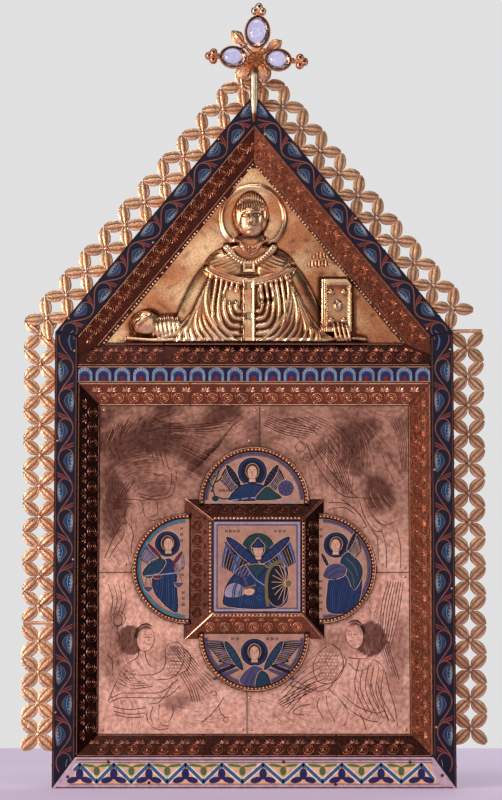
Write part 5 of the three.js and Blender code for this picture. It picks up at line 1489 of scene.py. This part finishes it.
low, high = nodeBox("centre_enamel")
sketch = newSketch(frontPlace(middleX, middleZ, low[1] - frontY))
left, right, bottom, top = low[0] - middleX, high[0] - middleX, low[2] - middleZ, high[2] - middleZ
addPlate(sketch, rectangle(left, bottom, right, top), -1.7, 0, glass["lilac"])
for inset, tint, level in ((1, "line", 0.05), (1.4, "white", 0.06), (2.6, "lilac", 0.07),
                           (3.5, "ground", 0.08)):
    addPlate(sketch, rectangle(left + inset, bottom + inset, right - inset, top - inset), -0.4, level,
             glass[tint])
for s, shoulder, end in ((-1, (-19.9, 22.5), (-24.5, 2)), (1, (25.7, 22.5), (31.4, 5))):
    addWing(sketch, (2.9, 2) if s < 0 else (5.9, 5), shoulder, end, 15, "blue", ("navy", "sky", "blue", "navy"),
            0.1)
addCell(sketch, "blue", 0.16, [-19.9, -29.1, -22.9, -19.3, -19.9, -10.2, -10.8, 0.5, -1.7, 3.5, 9, 2, 16.6,
                               -7.1, 24.2, 2, 25.7, -10.2, 21.1, -29.1])
addFolds(sketch, [[-10.8, -29.1, -9.3, -16.2, -4.7, -5.6], [-1.7, -29.1, -0.2, -16.2, 1.4, -4.1],
                  [-15.3, -22.3, -13.8, -13.2, -7.7, -5.6]], "sky", 0.2)
addCell(sketch, "green", 0.19, [-4.7, 2, 1.4, -7.1, 9, 2])
addLines(sketch, [[-6.2, 2, -0.2, -7.1, 8.1, -13.2]], "white", 0.22, 0.7)
fill(sketch, ellipse(17.3, -13.2, 8.4, 15.5, 26), "navy", 0.2)
for k in range(9):
    a = math.pi * 0.55 + k * math.pi * 0.11
    cu, cv = (24.2, -10.8)
    addLines(sketch, [[(cu, cv), (cu + 11 * math.cos(a), cv + 15 * math.sin(a))]], "line", 0.23, 0.4)
addLines(sketch, [[21.9, 6.2, 13.5, 2, 9.6, -7.1, 9.3, -19.3, 10.5, -28.7]], "olive", 0.24, 2.4)
fill(sketch, ellipse(25.7, -11.4, 2.8, 2.6, 16), "olive", 0.26)
for u, v in ((-12.9, -9.6), (-13.8, -18.7), (3.8, -22.3), (-4.7, -25.4), (5, -16.2)):
    addRing(sketch, ellipse(u, v, 1.7, 1.7, 14), 0.4, 0.04, glass["sky"], flatSection, base=0.22)
addHead(sketch, 3, 14.1, 5, 12.2, "green", 0, "blue")
addLines(sketch, [[-21.7, 19.9, -13.8, 5, -5.3, -12.9]], "lilac", 0.27, 1.9)
addLines(sketch, [[-10.8, -15.6, -4.7, -14.4, 1.4, -12.6]], "olive", 0.28, 1.4)
addCell(sketch, "white", 0.24, [-21.4, -20.8, -19.9, -13.8, -13.8, -11.7, -6.2, -16.2, -10.8, -20.8])
fill(sketch, ellipse(-3.5, -17.8, 3.6, 2.2, 16, 0.2), "skin", 0.28)
addStrokes(sketch, [-21.1, 28.1, -18.1, 28.1, -15, 28.1, -12, 28.1, 16.3, 28.1, 19.6, 28.1, 22.9, 28.1])
finishSketch(sketch, "centre_enamel_figure", plaqueEnamel, "enamel_plaque", "centre_enamel")
print("enamel figures drawn")


# Pierced crests.

crest = {
    **palette(bright=(255, 208, 164), middle=(236, 166, 124), deep=(124, 70, 48), bead=(255, 232, 206),
              dull=(150, 104, 78)),
    "width": 25.5, "petalHalf": 4.7, "thick": 2,
}


# The middle line of a crest strip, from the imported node.
def crestLine(node):
    points = nodePoints(node)
    flat = points[:, [0, 2]]
    centre = (flat.max(axis=0) + flat.min(axis=0)) / 2
    values, vectors = np.linalg.eigh(np.cov((flat - flat.mean(axis=0)).T))
    direction = vectors[:, 1]
    along = (flat - centre) @ direction
    return centre, direction, along.min(), along.max(), points[:, 1].max()


# One petal as a sheet with three grooves: f from its foot to its tip, s across it.
def addCrestPetal(sketch, foot, tip, half, thick, tints):
    foot, tip = np.asarray(foot, float), np.asarray(tip, float)
    run = tip - foot
    side = unit([-run[1], run[0]])
    lengthShares = (0, 0.1, 0.24, 0.4, 0.56, 0.72, 0.87, 1)
    halves = (0.3, 0.5, 0.88, 1, 1, 0.9, 0.66, 0.36)
    rises = (0.85, 0.8, 0.9, 1, 1, 0.95, 0.88, 0.8)
    across = (-1, -0.72, -0.42, -0.2, 0, 0.2, 0.42, 0.72, 1)
    levels = (0.5, 0.8, 0.62, 0.86, 1, 0.86, 0.62, 0.8, 0.5)
    # painted shade in the grooves and painted highlight on the ridges, brighter where the petal rises
    paint = (0.75, 1, 0.1, 0.8, 1, 0.8, 0.1, 1, 0.75)
    points, tint = [], []
    for share, halfShare, rise in zip(lengthShares, halves, rises):
        for a, level, bright in zip(across, levels, paint):
            spot = foot + run * share + side * a * halfShare * half
            points.append((spot[0], spot[1], thick * level * rise))
            tint.append(blend(tints["deep"], tints["bright"], bright * (0.45 + 0.55 * rise)))
    size = len(across)
    rows = len(lengthShares)
    faces = []
    for i in range(rows - 1):
        for k in range(size - 1):
            a = i * size + k
            faces.append((a, a + size, a + size + 1, a + 1))
    start = len(points)
    # the foot of each side takes the painted shade colour
    for share, halfShare in zip(lengthShares, halves):
        for a in (-1, 1):
            spot = foot + run * share + side * a * halfShare * half
            points.append((spot[0], spot[1], 0))
            tint.append(np.array(tints["deep"]))
    for i in range(rows - 1):
        left, right = start + 2 * i, start + 2 * i + 1
        faces.append((left, left + 2, (i + 1) * size, i * size))
        faces.append((i * size + size - 1, (i + 1) * size + size - 1, right + 2, right))
        faces.append((right, right + 2, left + 2, left))
    faces.append((start, *range(size), start + 1))
    last = (rows - 1) * size
    faces.append((start + 2 * rows - 1, *reversed(range(last, last + size)), start + 2 * rows - 2))
    addBody(sketch, points, [face[::-1] for face in faces], tint)


def makeCrest(node, count, slotName="crest", flat=False, bars=()):
    centre, direction, low, high, backY = crestLine(node)
    if direction[1] < 0:
        direction, low, high = -direction, -high, -low
    start = (centre[0], backY, centre[1])
    place = makePlace(start, (centre[0] + direction[0], backY, centre[1] + direction[1]),
                      (centre[0] - direction[1], backY, centre[1] + direction[0]))
    sketch = newSketch(place)
    runLow = low + (3.2 if "low" in bars else 0) + 0.2
    runHigh = high - (3.2 if "high" in bars else 0) - 0.2
    pitch = (runHigh - runLow) / count
    half = crest["petalHalf"] * (1.15 if flat else 1)
    thick = crest["thick"] * (0.6 if flat else 1)
    for i in range(count):
        u = runLow + (i + 0.5) * pitch
        dullness = rng.uniform(0, 0.35)
        tints = {"bright": blend(crest["bright"], crest["dull"], dullness), "deep": crest["deep"]}
        for a in (-1, 1):
            for b in (-1, 1):
                foot = (u + a * 0.9, b * 0.9)
                tip = (u + a * (pitch / 2 - 0.15), b * (crest["width"] / 2 - 1))
                addCrestPetal(sketch, foot, tip, half, thick, tints)
        addBead(sketch, u, 0, 2.5, thick * 1.05, crest["middle"], 12)
        addBead(sketch, u, 0, 1.7, 1.3, crest["bead"], 10, base=thick * 0.95)
    for end in bars:
        u = high - 1.6 if end == "high" else low + 1.6
        w = crest["width"] / 2 - 1
        addPlate(sketch, rectangle(u - 1.4, -w, u + 1.4, w), 0, 1.8, crest["middle"])
        addRidge(sketch, [(u, -w + 0.3), (u, w - 0.3)], 2.2, 0.8, crest["bright"], base=1.8)
    finishSketch(sketch, node + "_pierced", crestGilt, slotName, node, smooth=50)


# node and number of flowers, and what sets a strip apart
for node, count, extra in (
        ("left_upper", 7, {}), ("left_middle", 3, {"bars": ("low",)}),
        ("left_lower", 4, {"slotName": "crest_patch", "flat": True}), ("right_upper", 5, {"bars": ("high",)}),
        ("right_lower", 9, {}), ("roof_left_upper", 2, {}), ("roof_left_lower", 9, {}), ("roof_right", 11, {})):
    makeCrest("crest_" + node, count, **extra)
print("crests made")


# Finial: cross, cabochons and stem.

finial = {
    **palette(gilt=(240, 178, 134), deep=(96, 56, 38), pale=(255, 224, 190), cream=(250, 226, 196),
              leafDark=(132, 80, 52)),
    "crystalSegments": 40, "crystalRings": 12,
}
crystalCentres = {side: (nodeBox("crystal_" + side)[0] + nodeBox("crystal_" + side)[1]) / 2
                  for side in ("top", "right", "left")}
crossMiddle = (crystalCentres["left"] + crystalCentres["right"]) / 2
lean = unit(crystalCentres["right"] - crystalCentres["left"])
crossPlace = makePlace((crossMiddle[0], frontY + 3, crossMiddle[2]),
                       (crossMiddle[0] + lean[0], frontY + 3, crossMiddle[2] + lean[2]),
                       (crossMiddle[0] - lean[2], frontY + 3, crossMiddle[2] + lean[0]))
sketch = newSketch(crossPlace)
arms = {"top": ((0, 1), 20.8, 11.6, 8.5, 38.3), "right": ((1, 0), 17.3, 9.2, 7.3, 35),
        "left": ((-1, 0), 17.3, 9.4, 7.3, 33.6)}
addPlate(sketch, ellipse(0, 0, 8.6, 8.6, 24), -2.6, 0.2, finial["gilt"])
# dark disc under the rosette's petals: painted shade between them
addPlate(sketch, ellipse(0, -1, 6, 6, 20), -1, 1.6, finial["leafDark"])
for side, (direction, along, halfLength, halfWidth, tip) in arms.items():
    direction = np.array(direction, float)
    across = np.array([-direction[1], direction[0]])
    centre = direction * along
    turn = math.atan2(direction[1], direction[0])
    addPlate(sketch, [centre - across * 2 - direction * along * 0.7,
                      centre + across * 2 - direction * along * 0.7,
                      direction * tip + across * 1.6, direction * tip - across * 1.6], -2.6, 0, finial["gilt"])
    # bezel: a thin pinched collar with a fine roll at its foot
    addPlate(sketch, ellipse(*centre, halfLength + 1.4, halfWidth + 1.4, 32, turn), -2.6, -0.1, finial["deep"])
    for extra, level, width, tint in ((1.3, 0.5, 0.9, finial["gilt"]), (0.55, 2.4, 0.9, finial["deep"])):
        ring = ellipse(*centre, halfLength + extra, halfWidth + extra, 36, turn)
        addRing(sketch, ring, width, level, tint, [(-0.5, -0.3), (-0.4, 0.9), (0.4, 0.9), (0.5, -0.3)])
    addPetal(sketch, direction * (along + halfLength), direction * (along + halfLength + 4.2), 5, 1.8,
             finial["gilt"])
    # painted highlight: the top arm's beads are paler than those of the side arms
    for a, b in ((-2.9, -0.6), (2.9, -0.6), (0, 2.8)):
        spot = direction * (tip - 0.2 + b) + across * a
        addBead(sketch, *spot, 3.3, 3, finial["pale" if side == "top" else "gilt"], 14, base=-1)
        addBead(sketch, *spot, 1.3, 1.4, finial["deep"], 8, base=1.2)
    addBead(sketch, *(direction * (tip + 0.4)), 1.6, 2.6, finial["pale"], 8, base=0.4)
for (x, z), length, width in (((-16.8, 17.5), 14, 10), ((16.3, 13), 14, 10), ((-10.7, -14), 13, 12),
                              ((7.3, -14), 13, 12)):
    tip = np.array([x, z]) * 1.18
    foot = tip - unit(tip) * length
    addRidge(sketch, [unit(tip) * 5, (unit(tip) * 5 + foot) / 2, foot + unit(tip) * 2], 2.6, 1.6,
             finial["gilt"])
    addPetal(sketch, foot, tip, width, 2.4, finial["gilt"], widest=0.6)
    side = np.array([-unit(tip)[1], unit(tip)[0]])
    for k in range(6):   # notched rows on the leaf
        spot = foot + unit(tip) * (3.2 + 1.5 * k)
        for s in (-1, 1):
            addBead(sketch, *(spot + side * s * width * (0.26 if k < 4 else 0.16)), 0.75, 0.8, finial["pale"],
                    6, base=1.1)
for u, v, radius in ((-10, 9.7, 3.4), (5.2, 6.3, 3.4), (-3, -9, 4.2), (-7, -4.5, 2.6), (6, -5.5, 2.6)):
    # painted highlight: the upper rosettes are paler than the lower ones
    tint = finial["pale"] if v > 0 else finial["gilt"]
    for k in range(5):
        a = 2 * math.pi * k / 5 + 0.4
        addPetal(sketch, (u, v), (u + radius * math.cos(a), v + radius * math.sin(a)), radius * 0.9, 2.6, tint,
                 base=0.6)
    addBead(sketch, u, v, 1.1, 1.4, tint, 8, base=2)
for k in range(9):
    a = 2 * math.pi * k / 9
    addPetal(sketch, (1.5 * math.cos(a), 1.5 * math.sin(a) - 1), (7 * math.cos(a), 7 * math.sin(a) - 1), 3.4,
             1.6,
             finial["gilt"], base=1)
finishSketch(sketch, "finial_cross_chased", crestGilt, "finial", "finial_cross", smooth=55)


def makeCrystalMaterial():
    material, tree, shader = startMaterial("rockCrystal")
    shader.inputs["Base Color"].default_value = colour(240, 240, 250)
    shader.inputs["Transmission Weight"].default_value = 0.95
    shader.inputs["IOR"].default_value = 1.54
    shader.inputs["Roughness"].default_value = 0.03
    veil = addNoise(tree, 120, 3, 0.5)
    addBump(tree, shader, [(veil, 0.06, 0.0006)])
    return material


rockCrystal = makeCrystalMaterial()
foil = makeMetal("crystalFoil", metallic=0)
foilShader = foil.node_tree.nodes["Principled BSDF"]
# painted light: the foil glows to stand in for the light that reaches it through the stone
foilShader.inputs["Emission Color"].default_value = colour(226, 222, 240)
foilShader.inputs["Emission Strength"].default_value = 0.55
foilTint = colour(180, 172, 214)
for side, (direction, along, halfLength, halfWidth, tip) in arms.items():
    low, high = nodeBox("crystal_" + side)
    rise = high[1] - low[1]
    centre = np.array(direction, float) * along
    turn = math.atan2(direction[1], direction[0])
    segments, rings = finial["crystalSegments"], finial["crystalRings"]
    points = []
    for r in range(rings):
        bend = r / rings * math.pi / 2
        share, level = math.cos(bend) ** 0.8, math.sin(bend)
        for u, v in ellipse(0, 0, halfLength * share, halfWidth * share, segments, turn):
            points.append((centre[0] + u, centre[1] + v, 0.3 + rise * level))
    points.append((centre[0], centre[1], 0.3 + rise))
    faces = wallFaces(rings - 1, segments)
    faces += [((rings - 1) * segments + k, (rings - 1) * segments + (k + 1) % segments, rings * segments)
              for k in range(segments)]
    faces.append(tuple(reversed(range(segments))))
    sketch = newSketch(crossPlace)
    addBody(sketch, points, faces, (1, 1, 1, 1))
    finishSketch(sketch, "crystal_" + side + "_polished", rockCrystal, "crystal", "crystal_" + side, smooth=60)
    sketch = newSketch(crossPlace)
    spot = centre - np.array([0.6, -0.4])
    addPlate(sketch, ellipse(*spot, halfLength - 3.6, halfWidth - 3, 32, turn), 0.02, 0.2, foilTint)
    finishSketch(sketch, "crystal_" + side + "_foil", foil, "finial")

low, high = nodeBox("finial_stem")
sketch = newSketch(frontPlace((low[0] + high[0]) / 2, low[2], high[1] - frontY))
points = []
tall, thick = high[2] - low[2], high[1] - low[1]
stations = 14
for i in range(stations + 1):
    share = i / stations
    v = tall * share
    half = 3 * (0.45 + 0.55 * min(1, share * 2.6))
    lift = 0.35 + 0.65 * min(1, share * 4)
    for a, level in ((-1, 0), (-0.94, 0.55), (-0.62, 0.85), (0, 1), (0.62, 0.85), (0.94, 0.55), (1, 0)):
        points.append((a * half, v, thick * lift * level))
size = 7
faces = wallFaces(stations, size) + [tuple(range(size))[::-1], tuple(range(stations * size,
                                                                           (stations + 1) * size))]
tints = []
# painted highlight down the middle of the strap; painted shade on its sides and at both ends
for i in range(stations + 1):
    shadow = 1 if i < 3 or i > 12 else 0
    for a in (1, 1, 0.1, 0, 0.1, 1, 1):
        tints.append(blend(finial["cream"], finial["deep"], max(a, shadow)))
addBody(sketch, points, [face[::-1] for face in faces], tints)
finishSketch(sketch, "finial_stem_strap", crestGilt, "stem", "finial_stem", smooth=50)
print("finial made")


# Sides, roof and back.

sheath = {
    **palette(nail=(214, 150, 104), seam=(176, 118, 78), oakNail=(58, 48, 44)),
    "nailPitch": 31, "nailRadius": 1.5, "edge": 5, "seams": (0.34, 0.71),
}
nailMetal = makeMetal("nailMetal")


# Nails along both long edges of a sheet, and its lapped seams.
def addNailedEdges(node, foot, head, acrossSign):
    low, high = nodeBox(node)
    foot, head = np.array([foot[0], high[1], foot[1]], float), np.array([head[0], high[1], head[1]], float)
    if acrossSign > 0:
        foot[1] = head[1] = low[1]
    place = makePlace(foot, foot + (0, acrossSign, 0), head)
    deep, tall = high[1] - low[1], float(np.linalg.norm(head - foot))
    sketch = newSketch(place)
    count = int(tall // sheath["nailPitch"])
    for i in range(count):
        v = tall * (i + 0.5) / count
        for u in (sheath["edge"], deep - sheath["edge"]):
            addBead(sketch, u + rng.uniform(-0.6, 0.6), v + rng.uniform(-2, 2), sheath["nailRadius"], 0.9,
                    sheath["nail"], 8)
    for share in sheath["seams"]:
        v = tall * share
        addRidge(sketch, [(0.8, v), (deep / 2, v + 0.4), (deep - 0.8, v)], 2.6, 0.5, sheath["seam"])
    finishSketch(sketch, node + "_nails", nailMetal, "side_sheet")


for node in ("side_sheet_left", "side_sheet_right", "roof_sheet_left", "roof_sheet_right"):
    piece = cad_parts[node]
    piece.data.materials.clear()
    piece.data.materials.append(sheathGilt)
    low, high = nodeBox(node)
    sign = 1 if "right" in node else -1
    outer = high[0] if sign > 0 else low[0]
    if "side" in node:
        addNailedEdges(node, (outer, low[2]), (outer, high[2]), sign)
    else:
        addNailedEdges(node, (outer, low[2] + 1.2), (0, high[2]), sign)
for node in ("carcass", "back_board"):
    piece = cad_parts[node]
    piece.data.materials.clear()
    piece.data.materials.append(agedOak)

low, high = nodeBox("back_board")
shoulderLevel = nodeBox("side_sheet_left")[1][2]
sketch = newSketch(makePlace((high[0], high[1], low[2]), (low[0], high[1], low[2]),
                             (high[0], high[1], high[2])))
wide, tall = high[0] - low[0], high[2] - low[2]
edgePath = [(6, 8), (wide - 6, 8), (wide - 6, shoulderLevel - 4), (wide / 2, tall - 12), (6, shoulderLevel - 4),
            (6, 8)]
for a, b in zip(edgePath, edgePath[1:]):
    a, b = np.array(a, float), np.array(b, float)
    count = max(2, int(np.linalg.norm(b - a) // 46))
    for i in range(count):
        addBead(sketch, *(a + (b - a) * i / count + rng.uniform(-1, 1, 2)), 2.2, 0.8, sheath["oakNail"], 8)
finishSketch(sketch, "back_board_nails", nailMetal, "oak_back")
print("sides and back done")


# Floor, light and camera.

studio = {
    **palette(floor=(214, 196, 222), wall=(224, 224, 224)),
    "floorBack": 0.98, "worldLevel": 0.2,
}


def makeStage(name, corners, tint, glow, lit=True):
    mesh = bpy.data.meshes.new(name)
    mesh.from_pydata(corners, [], [(0, 1, 2, 3)])
    piece = bpy.data.objects.new(name, mesh)
    bpy.context.scene.collection.objects.link(piece)
    material, tree, shader = startMaterial(name)
    soften = addNoise(tree, 3, 3, 0.5)
    lighter = tuple(min(1, c * 1.05) for c in tint[:3]) + (1,)
    tree.links.new(addMix(tree, "MIX", addRange(tree, soften, 0, 1), tint, lighter),
                   shader.inputs["Base Color"])
    shader.inputs["Roughness"].default_value = 0.85
    shader.inputs["Emission Color"].default_value = tint
    shader.inputs["Emission Strength"].default_value = glow
    if not lit:   # a backdrop that is evenly bright, whatever falls on it
        tree.links.remove(shader.inputs["Base Color"].links[0])
        shader.inputs["Base Color"].default_value = (0, 0, 0, 1)
    piece.data.materials.append(material)
    return piece


back = studio["floorBack"]
makeStage("floor", [(-3, -2.6, 0), (3, -2.6, 0), (3, back, 0), (-3, back, 0)], studio["floor"], 0.3)
makeStage("backdrop", [(-9, 9, -5), (9, 9, -5), (9, 9, 9), (-9, 9, 9)], studio["wall"], 1, lit=False)

world = bpy.data.worlds.new("studio")
bpy.context.scene.world = world
world.use_nodes = True
world.node_tree.nodes["Background"].inputs["Color"].default_value = colour(196, 192, 200)
world.node_tree.nodes["Background"].inputs["Strength"].default_value = studio["worldLevel"]


def addLight(name, place, target, size, power, tint):
    data = bpy.data.lights.new(name, "AREA")
    data.shape = "RECTANGLE"
    data.size, data.size_y = size
    data.energy = power
    data.color = tint
    light = bpy.data.objects.new(name, data)
    light.location = place
    light.rotation_euler = (Vector(target) - Vector(place)).to_track_quat("-Z", "Y").to_euler()
    bpy.context.scene.collection.objects.link(light)


# name: place, target, size, watts, tint
lights = {
    "keyLeft": ((-1.6, -1.5, 0.3), (0, 0, 0.3), (0.7, 1.3), 34, (1, 0.94, 0.87)),
    "front": ((-0.2, -3.6, 0.9), (0, 0, 0.4), (3.4, 2.4), 22, (1, 0.94, 0.91)),
    "right": ((2, -1, 1), (0, 0, 0.3), (0.5, 1), 5, (0.95, 0.95, 1)),
    "above": ((-0.3, -0.9, 1.9), (0, 0, 0.3), (1, 0.6), 7, (0.97, 0.97, 1)),
    "behind": ((0.6, 1.9, 1.3), (0, 0, 0.3), (1.2, 1), 10, (1, 0.98, 0.96)),
}
for name, settings in lights.items():
    addLight(name, *settings)

cameraView = {"place": (-0.0024, -2.0325, 0.090), "tilt": 95.8, "lens": 118.85, "sensor": 36}
lens = bpy.data.cameras.new("camera")
lens.sensor_width = cameraView["sensor"]
lens.lens = cameraView["lens"]
camera = bpy.data.objects.new("camera", lens)
camera.location = cameraView["place"]
camera.rotation_euler = (math.radians(cameraView["tilt"]), 0, 0)
bpy.context.scene.collection.objects.link(camera)
bpy.context.scene.camera = camera
bpy.context.scene.view_settings.view_transform = "Standard"
print("floor, lights and camera placed")

print("scene finished")
